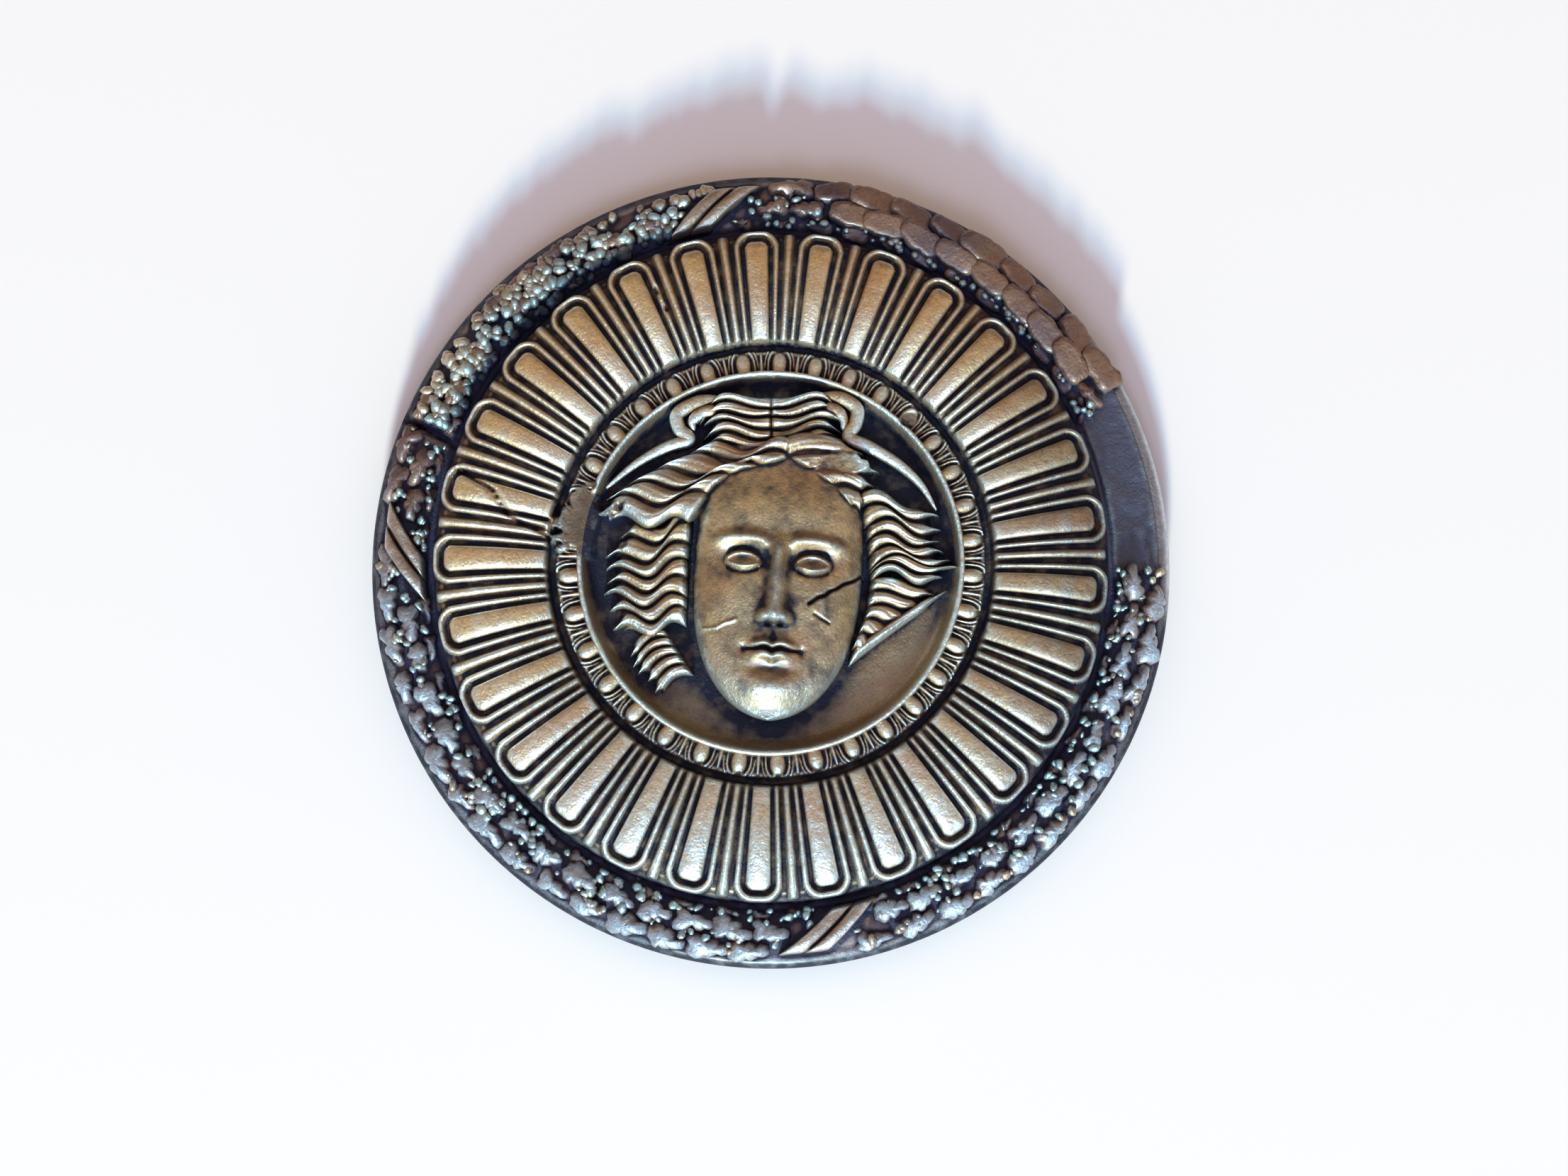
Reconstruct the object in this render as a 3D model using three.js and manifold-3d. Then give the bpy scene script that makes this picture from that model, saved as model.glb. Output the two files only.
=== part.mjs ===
// A round bronze relief medallion: a calm winged mask with waving hair in a shallow dish, framed by a
// fillet, a ring of eggs, a ring of tongues and a wreath tied with ribbons, part of it broken away.
// Millimetres. The flat back lies on z = 0, the face looks along +Z and its brow lies towards +Y.
import * as THREE from 'three';
import Module from 'manifold-3d';

// Widths of the bands, from the dish outwards.
const dishRadius = 18.6;
const filletWidth = 0.8;
const eggBandWidth = 2;
const grooveWidth = 0.5;
const tongueBandWidth = 11.8;
const wreathBandWidth = 5.1;
const rimBandWidth = 1.2;

// Heights above the back.
const backBevel = 0.5;
const edgeHeight = 3.6;
const wreathFootHeight = 4.6;
const wreathCrestHeight = 6.7;
const breakHeight = 4.7;
const grooveHeight = 5.8;
const tongueFootHeight = 6.9;
const tongueCrestHeight = 8.1;
const eggBandHeight = 6.4;
const filletHeight = 7.1;
const dishHeight = 4.8;

// Depth of the carving in each band.
const leafDepth = 1.2;
const tongueRelief = 0.35;
const tongueGroove = 0.5;
const eggRelief = 0.5;
const dishHollow = 0.4;
const hairRelief = 0.65;

// How far in from the tongues' outer and inner edges their border, groove, end and root lie.
const borderInset = 0.45;
const borderGrooveInset = 1;
const tongueEndInset = 1.7;
const tongueRootInset = 0.3;

// Ornaments around the rings, with the drift of the hand that set them out, in degrees.
const tongueCount = 29;
const tongueShift = -5.87;
const eggCount = 34;
const eggShift = 5.06;
const leavesPerTongue = 2;
const edgeColumnsPerTongue = 4;

// The stretch of wreath that is lost, slanting inwards, and the other damage, in degrees.
const breakStart = -1.5;
const breakEndOutside = 31;
const breakEndInside = 23;
const wreathCrack = 158.3;
const patchStart = 160;
const patchEnd = 176;

// Ribbons over the wreath: the middle of each at the rim, its slant and half its width, in degrees.
const ribbonAngles = [94.8, 173.9, 274.3];
const ribbonSlant = 10;
const ribbonHalfWidth = 3.1;
const ribbonThickness = 0.3;

// The mask: its tilt in degrees and how far its parts stand out of the dish.
const faceTilt = 4;
const faceEdgeRise = 1.3;
const faceDepth = 3.3;
const hairRise = 3.4;
const wingRise = 2.4;
const wingWidth = 0.9;

const degree = Math.PI / 180;
const filletRadius = dishRadius + filletWidth;
const eggRadius = filletRadius + eggBandWidth;
const tongueInnerRadius = eggRadius + grooveWidth;
const tongueOuterRadius = tongueInnerRadius + tongueBandWidth;
const wreathRadius = tongueOuterRadius + wreathBandWidth;
const outerRadius = wreathRadius + rimBandWidth;

// The mask fills the dish: the face's length from chin to hairline, and where its middle lies.
const faceLength = dishRadius * 1.344;
const faceMiddle = [dishRadius * 0.032, dishRadius * -0.134];

function smoothStep(low, high, value) {
  const share = THREE.MathUtils.clamp((value - low) / (high - low), 0, 1);
  return share * share * (3 - 2 * share);
}

function bump(distance, width) {
  return Math.exp(-((distance / width) ** 2));
}

// How far an angle lies past another, from -180 to 180 degrees.
function turnBetween(angle, from) {
  return ((angle - from + 540) % 360 + 360) % 360 - 180;
}

// Rings of the round body: each point has an angle, a radius and a height, in order of the angle.

function evenAngles(count) {
  return Array.from({ length: count }, (_, index) => ({ angle: (360 * index) / count, index }));
}

// Columns that follow an ornament: the same few offsets around the middle of each copy.
function ornamentColumns(count, middleOf, offsets) {
  const columns = [];
  for (let copy = 0; copy < count; copy += 1) {
    for (const offset of offsets) {
      const angle = (middleOf(copy) + offset + 360) % 360;
      columns.push({ angle, offset });
    }
  }
  return columns.sort((first, second) => first.angle - second.angle);
}

function makeRing(columns, radius, heightOf) {
  return columns.map((column) => {
    const turn = column.angle * degree;
    return {
      angle: column.angle,
      point: [radius * Math.cos(turn), radius * Math.sin(turn), heightOf(column, radius)],
    };
  });
}

// Joins two rings of any number of points by triangles, always stepping along the one that lags.
function stitchRings(lower, upper, lowerStart, upperStart, triangles) {
  const lowerAngle = (index) => lower[index % lower.length].angle + (index >= lower.length ? 360 : 0);
  const upperAngle = (index) => upper[index % upper.length].angle + (index >= upper.length ? 360 : 0);
  let low = 0;
  let high = 0;
  while (low < lower.length || high < upper.length) {
    const lowPoint = lowerStart + (low % lower.length);
    const highPoint = upperStart + (high % upper.length);
    const lowIsNext = lowerAngle(low + 1) <= upperAngle(high + 1);
    if (high === upper.length || (low < lower.length && lowIsNext)) {
      triangles.push(lowPoint, lowerStart + ((low + 1) % lower.length), highPoint);
      low += 1;
    } else {
      triangles.push(lowPoint, upperStart + ((high + 1) % upper.length), highPoint);
      high += 1;
    }
  }
}

// A closed body from rings that run from the middle of the back, round the edge, to the middle of the front.
function bodyFromRings(rings, frontHeight) {
  const points = [[0, 0, 0]];
  const triangles = [];
  const starts = [];
  for (const ring of rings) {
    starts.push(points.length);
    points.push(...ring.map((corner) => corner.point));
  }
  const frontPoint = points.length;
  points.push([0, 0, frontHeight]);
  const first = rings[0];
  first.forEach((_, index) => {
    triangles.push(0, starts[0] + ((index + 1) % first.length), starts[0] + index);
  });
  for (let index = 1; index < rings.length; index += 1) {
    stitchRings(rings[index - 1], rings[index], starts[index - 1], starts[index], triangles);
  }
  const last = rings.at(-1);
  const lastStart = starts.at(-1);
  last.forEach((_, index) => {
    triangles.push(lastStart + index, lastStart + ((index + 1) % last.length), frontPoint);
  });
  return { points, triangles };
}

// The wreath: a swelling band of three rows of leaves that all point one way round.

function isLost(angle, depthShare) {
  const end = THREE.MathUtils.lerp(breakEndOutside, breakEndInside, depthShare);
  return turnBetween(angle, breakStart) > 0 && turnBetween(angle, end) < 0 && turnBetween(angle, 0) < 90;
}

function isUnderRibbon(angle, depthShare) {
  return ribbonAngles.some((start) => {
    return Math.abs(turnBetween(angle, start + ribbonSlant * depthShare)) < ribbonHalfWidth;
  });
}

function wreathRings() {
  const leafCount = tongueCount * leavesPerTongue;
  const pitch = 360 / leafCount;
  const leafTip = pitch * 0.68;
  const rowShares = [0, 0.12, 0.3, 0.5, 0.7, 0.88, 1];
  const edgeColumns = evenAngles(tongueCount * edgeColumnsPerTongue);
  return rowShares.map((depthShare, row) => {
    const radius = wreathRadius - (wreathBandWidth - grooveWidth) * depthShare;
    const swell = Math.sin(Math.PI * depthShare) ** 0.5;
    const crest = THREE.MathUtils.lerp(wreathFootHeight, wreathCrestHeight, swell);
    const isFoot = row === 0 || row === rowShares.length - 1;
    const isLeafRow = row % 2 === 1;
    const rowTurn = (row * pitch) / 4;
    const offsets = isLeafRow ? [0, leafTip] : [leafTip / 2];
    const leafColumns = ornamentColumns(leafCount, (copy) => copy * pitch + rowTurn, offsets);
    return makeRing(isFoot ? edgeColumns : leafColumns, radius, ({ angle, offset }) => {
      if (isLost(angle, depthShare)) return breakHeight;
      if (isFoot || Math.abs(turnBetween(angle, wreathCrack)) < leafTip / 2) return wreathFootHeight;
      if (isUnderRibbon(angle, depthShare)) return crest + ribbonThickness;
      return offset === leafTip ? crest : crest - leafDepth;
    });
  });
}

// The tongues: each has a raised border around its sides and its round outer end, and runs open inwards.

function tongueMiddle(copy) {
  const base = (copy * 360) / tongueCount;
  const slowDrift = 1.02 * Math.cos((base + 29.4) * degree);
  const quickDrift = 1.08 * Math.cos((2 * base - 98.2) * degree);
  return base + tongueShift + slowDrift + quickDrift;
}

function tongueRings() {
  const pitch = 360 / tongueCount;
  const tongueSide = pitch * 0.17;
  const grooveSide = pitch * 0.225;
  const borderSide = pitch * 0.3;
  const valleySide = pitch * 0.5;
  const offsets = [-borderSide, -grooveSide, -tongueSide, 0, tongueSide, grooveSide, borderSide, valleySide];
  const columns = ornamentColumns(tongueCount, tongueMiddle, offsets);
  const middleRadius = (tongueInnerRadius + tongueOuterRadius) / 2;
  const arch = (radius) => {
    const share = (radius - middleRadius) / (tongueBandWidth / 2);
    return THREE.MathUtils.lerp(tongueCrestHeight, tongueFootHeight, share * share);
  };
  // Height of each column against the arch, in the relief's own depth: along the tongue and around its end.
  const along = (side) => {
    if (side < grooveSide - 0.01) return side < tongueSide - 0.01 ? tongueRelief : tongueRelief * 0.4;
    if (side < borderSide - 0.01) return -tongueGroove;
    return side < valleySide - 0.01 ? tongueRelief : -tongueGroove;
  };
  const borderEnd = (side) => (side < borderSide - 0.01 ? tongueRelief : -tongueGroove);
  const grooveEnd = (side) => (side < borderSide - 0.01 ? -tongueGroove : along(side));
  const ring = (inset, reliefOf) => {
    return makeRing(columns, tongueOuterRadius - inset, (column, radius) => {
      return arch(radius) + reliefOf(Math.abs(column.offset));
    });
  };
  const foot = (radius, height) => makeRing(columns, radius, () => height);
  return [
    foot(tongueOuterRadius, wreathFootHeight),
    ring(borderInset, borderEnd),
    ring(borderGrooveInset, grooveEnd),
    ring(tongueEndInset, along),
    ring(tongueBandWidth / 2, along),
    ring(tongueBandWidth - tongueRootInset, along),
    foot(tongueInnerRadius, grooveHeight),
  ];
}

// The eggs: round ends outwards, each in its shell, flat where they meet the fillet.

function eggMiddle(copy) {
  const base = (copy * 360) / eggCount;
  return base + eggShift + 2.63 * Math.cos((base + 63.5) * degree);
}

function eggRings() {
  const pitch = 360 / eggCount;
  const eggSide = pitch * 0.22;
  const shellSide = pitch * 0.4;
  const offsets = [-shellSide, -eggSide, 0, eggSide, shellSide];
  const columns = ornamentColumns(eggCount, eggMiddle, offsets);
  const isWorn = (angle) => turnBetween(angle, patchStart) > 0 && turnBetween(angle, patchEnd) < 0;
  const ring = (inset, heightOf) => {
    return makeRing(columns, eggRadius - inset, (column) => {
      if (isWorn(column.angle)) return eggBandHeight + eggRelief * 0.6;
      return eggBandHeight + eggRelief * heightOf(Math.abs(column.offset));
    });
  };
  const shellTop = (side) => (side < shellSide - 0.01 ? 1 : 0.6);
  const eggBody = (side) => {
    if (side < eggSide - 0.01) return 1.2;
    return side < shellSide - 0.01 ? -0.6 : 0.8;
  };
  return [
    makeRing(columns, eggRadius, () => grooveHeight),
    ring(eggBandWidth * 0.15, shellTop),
    ring(eggBandWidth * 0.5, eggBody),
    ring(eggBandWidth, () => 0),
  ];
}

function roundBody() {
  const edgeColumns = evenAngles(tongueCount * edgeColumnsPerTongue);
  const filletColumns = evenAngles(tongueCount * edgeColumnsPerTongue);
  const dishColumns = evenAngles(tongueCount * 2);
  const hubColumns = evenAngles(tongueCount);
  const rings = [
    makeRing(edgeColumns, outerRadius - backBevel, () => 0),
    makeRing(edgeColumns, outerRadius, () => backBevel),
    makeRing(edgeColumns, outerRadius, () => edgeHeight),
    ...wreathRings(),
    ...tongueRings(),
    ...eggRings(),
    makeRing(filletColumns, dishRadius + filletWidth / 2, () => filletHeight),
    makeRing(dishColumns, dishRadius, () => dishHeight),
    makeRing(hubColumns, dishRadius * 0.5, () => dishHeight - dishHollow * 0.75),
  ];
  return bodyFromRings(rings, dishHeight - dishHollow);
}

// A closed body under a grid of points: the grid on top, its outline straight down, and a flat underside.
function bodyUnderGrid(rows, underside) {
  const columnCount = rows[0].length;
  const rowCount = rows.length;
  const top = rows.flat();
  const points = [...top, ...top.map(([x, y]) => [x, y, underside])];
  const triangles = [];
  const at = (row, column) => row * columnCount + column;
  for (let row = 0; row < rowCount - 1; row += 1) {
    for (let column = 0; column < columnCount - 1; column += 1) {
      const corners = [at(row, column), at(row, column + 1), at(row + 1, column + 1), at(row + 1, column)];
      const [a, b, c, d] = corners;
      const [e, f, g, h] = corners.map((corner) => corner + top.length);
      triangles.push(a, b, c, a, c, d, e, g, f, e, h, g);
    }
  }
  const outline = [];
  for (let column = 0; column < columnCount - 1; column += 1) outline.push(at(0, column));
  for (let row = 0; row < rowCount - 1; row += 1) outline.push(at(row, columnCount - 1));
  for (let column = columnCount - 1; column > 0; column -= 1) outline.push(at(rowCount - 1, column));
  for (let row = rowCount - 1; row > 0; row -= 1) outline.push(at(row, 0));
  outline.forEach((here, index) => {
    const next = outline[(index + 1) % outline.length];
    triangles.push(here, here + top.length, next + top.length, here, next + top.length, next);
  });
  return { points, triangles };
}

// The mask. Across and up are shares of the face's length, from its middle line and its chin.

function faceHalfWidth(up) {
  const widest = 0.62;
  const cheek = 0.335;
  const chinShare = THREE.MathUtils.clamp((widest - up) / (widest + 0.03), 0, 1);
  const browShare = THREE.MathUtils.clamp((up - widest) / 0.75, 0, 1);
  return cheek * (1 - chinShare ** 2.8) ** 0.55 * (1 - browShare ** 2) ** 0.5;
}

function ellipse(across, up, middleAcross, middleUp, halfWidth, halfHeight) {
  const square = ((across - middleAcross) / halfWidth) ** 2 + ((up - middleUp) / halfHeight) ** 2;
  return Math.sqrt(Math.max(0, 1 - square));
}

function faceRelief(across, up) {
  const side = Math.abs(across);
  const edge = Math.min(1, side / Math.max(faceHalfWidth(up), 0.02));
  const round = (1 - edge ** 2.6) ** 0.5;
  const crown = 1 - 0.3 * smoothStep(0.75, 1.05, up) - 0.35 * smoothStep(0.12, -0.02, up);
  const browLine = 0.66 + 0.02 * Math.sin(Math.PI * Math.min(1, side / 0.26));
  const noseShare = THREE.MathUtils.clamp((0.66 - up) / 0.29, 0, 1);
  const noseFade = smoothStep(0.335, 0.36, up) * smoothStep(0.7, 0.62, up);
  const noseWidth = THREE.MathUtils.lerp(0.03, 0.05, noseShare);
  const features = [
    0.022 * bump(up - browLine, 0.03) * smoothStep(0.01, 0.06, side) * smoothStep(0.3, 0.2, side),
    -0.045 * bump(side - 0.135, 0.085) * bump(up - 0.59, 0.045),
    0.036 * ellipse(side, up, 0.138, 0.583, 0.07, 0.036),
    THREE.MathUtils.lerp(0.03, 0.095, noseShare) * bump(across, noseWidth) * noseFade,
    0.03 * bump(side - 0.045, 0.022) * bump(up - 0.365, 0.022),
    0.03 * bump(up - 0.262, 0.014) * smoothStep(0.115, 0.06, side),
    0.034 * bump(up - 0.212, 0.02) * smoothStep(0.1, 0.04, side),
    -0.02 * bump(up - 0.237, 0.008) * smoothStep(0.13, 0.1, side),
    -0.016 * bump(up - 0.155, 0.03) * bump(side, 0.1),
    0.026 * bump(up - 0.075, 0.05) * bump(side, 0.085),
    0.012 * bump(side - 0.2, 0.09) * bump(up - 0.42, 0.1),
  ];
  const carving = features.reduce((sum, feature) => sum + feature, 0) * Math.sqrt(round);
  return faceEdgeRise + faceDepth * round * crown + carving * faceLength;
}

function faceToDish(across, up) {
  const x = across * faceLength;
  const y = (up - 0.5) * faceLength;
  const cos = Math.cos(-faceTilt * degree);
  const sin = Math.sin(-faceTilt * degree);
  return [faceMiddle[0] + x * cos - y * sin, faceMiddle[1] + x * sin + y * cos];
}

function faceBody() {
  const upShares = [
    -0.015, 0.02, 0.08, 0.155, 0.21, 0.237, 0.262, 0.3, 0.335, 0.365,
    0.42, 0.5, 0.55, 0.583, 0.615, 0.65, 0.69, 0.78, 0.9, 1.05,
  ];
  const sideShares = [0, 0.1, 0.2, 0.36, 0.5, 0.68, 0.86, 1];
  const acrossShares = [...sideShares.slice(1).reverse().map((share) => -share), ...sideShares];
  const rows = upShares.map((up) => acrossShares.map((share) => {
    const across = share * faceHalfWidth(up);
    const [x, y] = faceToDish(across, up);
    return [x, y, dishHeight + faceRelief(across, up)];
  }));
  return bodyUnderGrid(rows, edgeHeight);
}

// The hair: fans of waving strands. Each fan gives, in shares of the dish's radius, where its first and
// last strand start and end and how far they wave and bend, and in shares of the hair's rise both ends.
const hairFans = [
  { name: 'left side', strands: 6,
    inner: [[-0.457, 0.247], [-0.505, -0.323]], outer: [[-0.849, 0.14], [-0.839, -0.366]],
    waves: 2.2, swing: 0.022, bend: 0.022, rise: [0.82, 0.56] },
  { name: 'left brow', strands: 4,
    inner: [[0.032, 0.613], [-0.323, 0.387]], outer: [[-0.581, 0.57], [-0.93, 0.29]],
    waves: 2, swing: 0.022, bend: 0.016, rise: [1, 0.59] },
  { name: 'left crown', strands: 4,
    inner: [[0, 0.86], [0, 0.64]], outer: [[-0.301, 0.806], [-0.355, 0.634]],
    waves: 1.2, swing: -0.027, bend: -0.022, rise: [0.88, 0.65] },
  { name: 'right crown', strands: 4,
    inner: [[0.022, 0.86], [0.022, 0.64]], outer: [[0.376, 0.796], [0.344, 0.667]],
    waves: 1.2, swing: 0.027, bend: 0.022, rise: [0.88, 0.65] },
  { name: 'right brow', strands: 3,
    inner: [[0.022, 0.624], [0.14, 0.527]], outer: [[0.462, 0.538], [0.462, 0.387]],
    waves: 1, swing: 0.011, bend: 0.016, rise: [1, 0.82] },
  { name: 'right side', strands: 6,
    inner: [[0.468, 0.312], [0.495, -0.048]], outer: [[0.925, 0.183], [0.957, -0.118]],
    waves: 1.4, swing: 0.019, bend: 0.043, rise: [0.82, 0.56] },
  { name: 'right cheek', strands: 4,
    inner: [[0.484, -0.129], [0.452, -0.419]], outer: [[0.86, -0.183], [0.548, -0.43]],
    waves: 1, swing: 0.011, bend: 0.016, rise: [0.76, 0.56] },
  { name: 'left jaw', strands: 4,
    inner: [[-0.57, -0.398], [-0.452, -0.613]], outer: [[-0.699, -0.527], [-0.602, -0.677]],
    waves: 1, swing: 0.005, bend: -0.027, rise: [0.65, 0.53] },
];

function strandPoint(fan, across, along) {
  const start = new THREE.Vector2(...fan.inner[0]).lerp(new THREE.Vector2(...fan.inner[1]), across);
  const end = new THREE.Vector2(...fan.outer[0]).lerp(new THREE.Vector2(...fan.outer[1]), across);
  const run = end.clone().sub(start);
  const normal = new THREE.Vector2(-run.y, run.x).normalize();
  const wave = fan.swing * Math.sin(2 * Math.PI * fan.waves * along);
  const arc = fan.bend * 4 * along * (1 - along);
  return start.lerp(end, along).addScaledVector(normal, wave + arc).multiplyScalar(dishRadius);
}

function hairBody(fan) {
  const stationCount = Math.max(4, Math.round(fan.waves * 4));
  const lineCount = fan.strands * 2 + 1;
  const rows = [];
  for (let line = 0; line < lineCount; line += 1) {
    const isCrest = line % 2 === 1;
    const across = (line - 1) / (lineCount - 3);
    const row = [];
    for (let station = 0; station <= stationCount; station += 1) {
      const along = station / stationCount;
      const place = strandPoint(fan, across, along);
      const crest = dishHeight + hairRise * THREE.MathUtils.lerp(...fan.rise, along);
      row.push([place.x, place.y, isCrest ? crest : crest - hairRelief]);
    }
    rows.push(row);
  }
  return bodyUnderGrid(rows, edgeHeight);
}

// The wings that spring from the hair: a raised outline on each side, in shares of the dish's radius.
const wingLines = [
  [
    [-0.29, 0.882], [-0.468, 0.833], [-0.511, 0.753],
    [-0.452, 0.667], [-0.645, 0.575], [-0.86, 0.392],
  ],
  [
    [0.263, 0.903], [0.457, 0.844], [0.462, 0.742], [0.414, 0.661],
    [0.618, 0.57], [0.785, 0.441], [0.876, 0.28],
  ],
];

function ridgeBody(line) {
  const corners = line.map(([x, y]) => new THREE.Vector3(x * dishRadius, y * dishRadius, 0));
  const curve = new THREE.CatmullRomCurve3(corners);
  const stationCount = (line.length - 1) * 2;
  const rows = [-1, -0.3, 0.3, 1].map((side) => {
    const row = [];
    for (let station = 0; station <= stationCount; station += 1) {
      const share = station / stationCount;
      const place = curve.getPoint(share);
      const tangent = curve.getTangent(share);
      const offset = (side * wingWidth) / 2;
      const height = dishHeight + (Math.abs(side) < 1 ? wingRise : wingRise * 0.5);
      row.push([place.x - tangent.y * offset, place.y + tangent.x * offset, height]);
    }
    return row;
  });
  return bodyUnderGrid(rows, edgeHeight);
}

function geometryFrom({ points, triangles }) {
  const geometry = new THREE.BufferGeometry();
  geometry.setAttribute('position', new THREE.Float32BufferAttribute(points.flat(), 3));
  geometry.setIndex(triangles);
  return geometry;
}

const manifold = await Module();
manifold.setup();

function solidFrom(body) {
  const geometry = geometryFrom(body);
  const vertProperties = new Float32Array(geometry.attributes.position.array);
  const triVerts = new Uint32Array(geometry.index.array);
  return new manifold.Manifold(new manifold.Mesh({ numProp: 3, vertProperties, triVerts }));
}

// Turns a body the right way round when its grid was laid clockwise.
function uprightSolid(body) {
  const solid = solidFrom(body);
  if (solid.volume() > 0) return solid;
  const turned = [];
  for (let index = 0; index < body.triangles.length; index += 3) {
    const [a, b, c] = body.triangles.slice(index, index + 3);
    turned.push(a, c, b);
  }
  return solidFrom({ points: body.points, triangles: turned });
}

function medallion() {
  const raised = [faceBody(), ...hairFans.map(hairBody), ...wingLines.map(ridgeBody)];
  const whole = raised.reduce((solid, body) => solid.add(uprightSolid(body)), solidFrom(roundBody()));
  const { vertProperties, triVerts, numProp } = whole.getMesh();
  const geometry = new THREE.BufferGeometry();
  const interleaved = new THREE.InterleavedBuffer(vertProperties, numProp);
  geometry.setAttribute('position', new THREE.InterleavedBufferAttribute(interleaved, 3, 0));
  geometry.setIndex(Array.from(triVerts));
  geometry.computeVertexNormals();
  const bronze = new THREE.MeshStandardMaterial({ color: 0x8a6a3c, roughness: 0.38, metalness: 1 });
  const mesh = new THREE.Mesh(geometry, bronze);
  mesh.name = 'medallion';
  return mesh;
}

const part = new THREE.Group();
part.name = 'gorgon_mask_medallion';
part.add(medallion());

export default part;
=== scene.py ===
import math
from functools import partial
from itertools import product

import bpy
import numpy as np
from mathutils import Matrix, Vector


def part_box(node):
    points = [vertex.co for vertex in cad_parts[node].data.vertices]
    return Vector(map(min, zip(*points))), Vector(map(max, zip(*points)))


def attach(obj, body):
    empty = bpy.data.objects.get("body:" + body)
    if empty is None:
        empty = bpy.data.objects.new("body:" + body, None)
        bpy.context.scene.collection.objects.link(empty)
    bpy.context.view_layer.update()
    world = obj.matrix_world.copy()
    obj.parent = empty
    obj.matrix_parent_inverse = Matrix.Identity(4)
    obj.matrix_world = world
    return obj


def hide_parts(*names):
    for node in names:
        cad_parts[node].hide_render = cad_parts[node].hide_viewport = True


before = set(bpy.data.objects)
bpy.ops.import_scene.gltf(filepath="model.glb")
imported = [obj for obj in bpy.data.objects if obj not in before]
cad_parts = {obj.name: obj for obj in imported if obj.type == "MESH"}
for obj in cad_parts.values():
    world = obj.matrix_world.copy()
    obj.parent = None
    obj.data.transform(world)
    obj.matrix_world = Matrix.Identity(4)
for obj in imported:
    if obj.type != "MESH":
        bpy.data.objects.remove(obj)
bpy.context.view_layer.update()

# A round bronze relief medallion: a calm winged mask in a dish, ringed by eggs, tongues and a wreath.
# Sizes are in millimetres and turns in degrees until a mesh is made. A turn is counted from +X towards +Y.

mm = 0.001
lowCorner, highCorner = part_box("medallion")
outerRadius = (highCorner.x - lowCorner.x) / mm / 2

bands = {  # widths, from the rim inwards
    "rim": 1.2,
    "wreath": 5.1,
    "tongues": 11.8,
    "groove": 0.5,
    "eggs": 2.0,
    "fillet": 0.8,
}
wreathRadius = outerRadius - bands["rim"]
tongueOuter = wreathRadius - bands["wreath"]
tongueInner = tongueOuter - bands["tongues"]
eggRadius = tongueInner - bands["groove"]
filletRadius = eggRadius - bands["eggs"]
dishRadius = filletRadius - bands["fillet"]

levels = {  # heights above the back
    "bevel": 0.5,
    "edge": 3.6,
    "wreathFoot": 4.6,
    "wreathCrest": 6.7,
    "lost": 4.7,
    "groove": 5.8,
    "tongueFoot": 6.9,
    "tongueCrest": 8.1,
    "eggs": 6.4,
    "fillet": 7.1,
    "dish": 4.8,
    "hollow": 0.4,
}


def smoothStep(low, high, value):
    share = np.clip((value - low) / (high - low), 0, 1)
    return share * share * (3 - 2 * share)


def bump(distance, width):
    return np.exp(-((distance / width) ** 2))


def blend(first, second, share):
    return first + (second - first) * share


def arc(share):  # a half round, 1 high over 0 and gone at 1
    return np.sqrt(np.clip(1 - share ** 2, 0, 1))


def turnBetween(turn, start):  # how far a turn lies past another, from -180 to 180
    return (turn - start + 540) % 360 - 180


def ringPoints(radius, turn, height):
    angle = np.radians(turn)
    return np.stack([radius * np.cos(angle), radius * np.sin(angle), height], -1)


def polar(points):  # the radius and the turn of every point
    return np.hypot(points[:, 0], points[:, 1]), np.degrees(np.arctan2(points[:, 1], points[:, 0]))


def softNoise(x, y, size, seed):  # smooth unevenness from -1 to 1 with lumps of one size
    lattice = np.random.default_rng(seed).uniform(-1, 1, (64, 64))
    column, row = np.floor(x / size), np.floor(y / size)
    right, up = x / size - column, y / size - row
    right, up = right * right * (3 - 2 * right), up * up * (3 - 2 * up)
    column, row = column.astype(int) % 64, row.astype(int) % 64
    nextColumn, nextRow = (column + 1) % 64, (row + 1) % 64
    lower = blend(lattice[row, column], lattice[row, nextColumn], right)
    upper = blend(lattice[nextRow, column], lattice[nextRow, nextColumn], right)
    return blend(lower, upper, up)


def gridFaces(rowCount, columnCount, start=0, roundColumns=False, roundRows=False):
    rows = np.arange(rowCount if roundRows else rowCount - 1)
    columns = np.arange(columnCount if roundColumns else columnCount - 1)
    row, column = np.meshgrid(rows, columns, indexing="ij")
    nextRow, nextColumn = (row + 1) % rowCount, (column + 1) % columnCount
    corners = [row * columnCount + column, row * columnCount + nextColumn]
    corners += [nextRow * columnCount + nextColumn, nextRow * columnCount + column]
    return (np.stack(corners, -1).reshape(-1, 4) + start).tolist()


def linkObject(name, data):
    piece = bpy.data.objects.new(name, data)
    bpy.context.scene.collection.objects.link(piece)
    return piece


def meshObject(name, points, faces, material=None):
    mesh = bpy.data.meshes.new(name)
    mesh.from_pydata((np.asarray(points) * mm).tolist(), [], faces)
    mesh.polygons.foreach_set("use_smooth", [True] * len(mesh.polygons))
    if material:
        mesh.materials.append(material)
    return linkObject(name, mesh)


def meshPoints(piece):
    values = np.empty(len(piece.data.vertices) * 3)
    piece.data.vertices.foreach_get("co", values)
    return values.reshape(-1, 3) / mm


def movePoints(piece, points):
    piece.data.vertices.foreach_set("co", (points * mm).ravel())
    piece.data.update()


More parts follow.
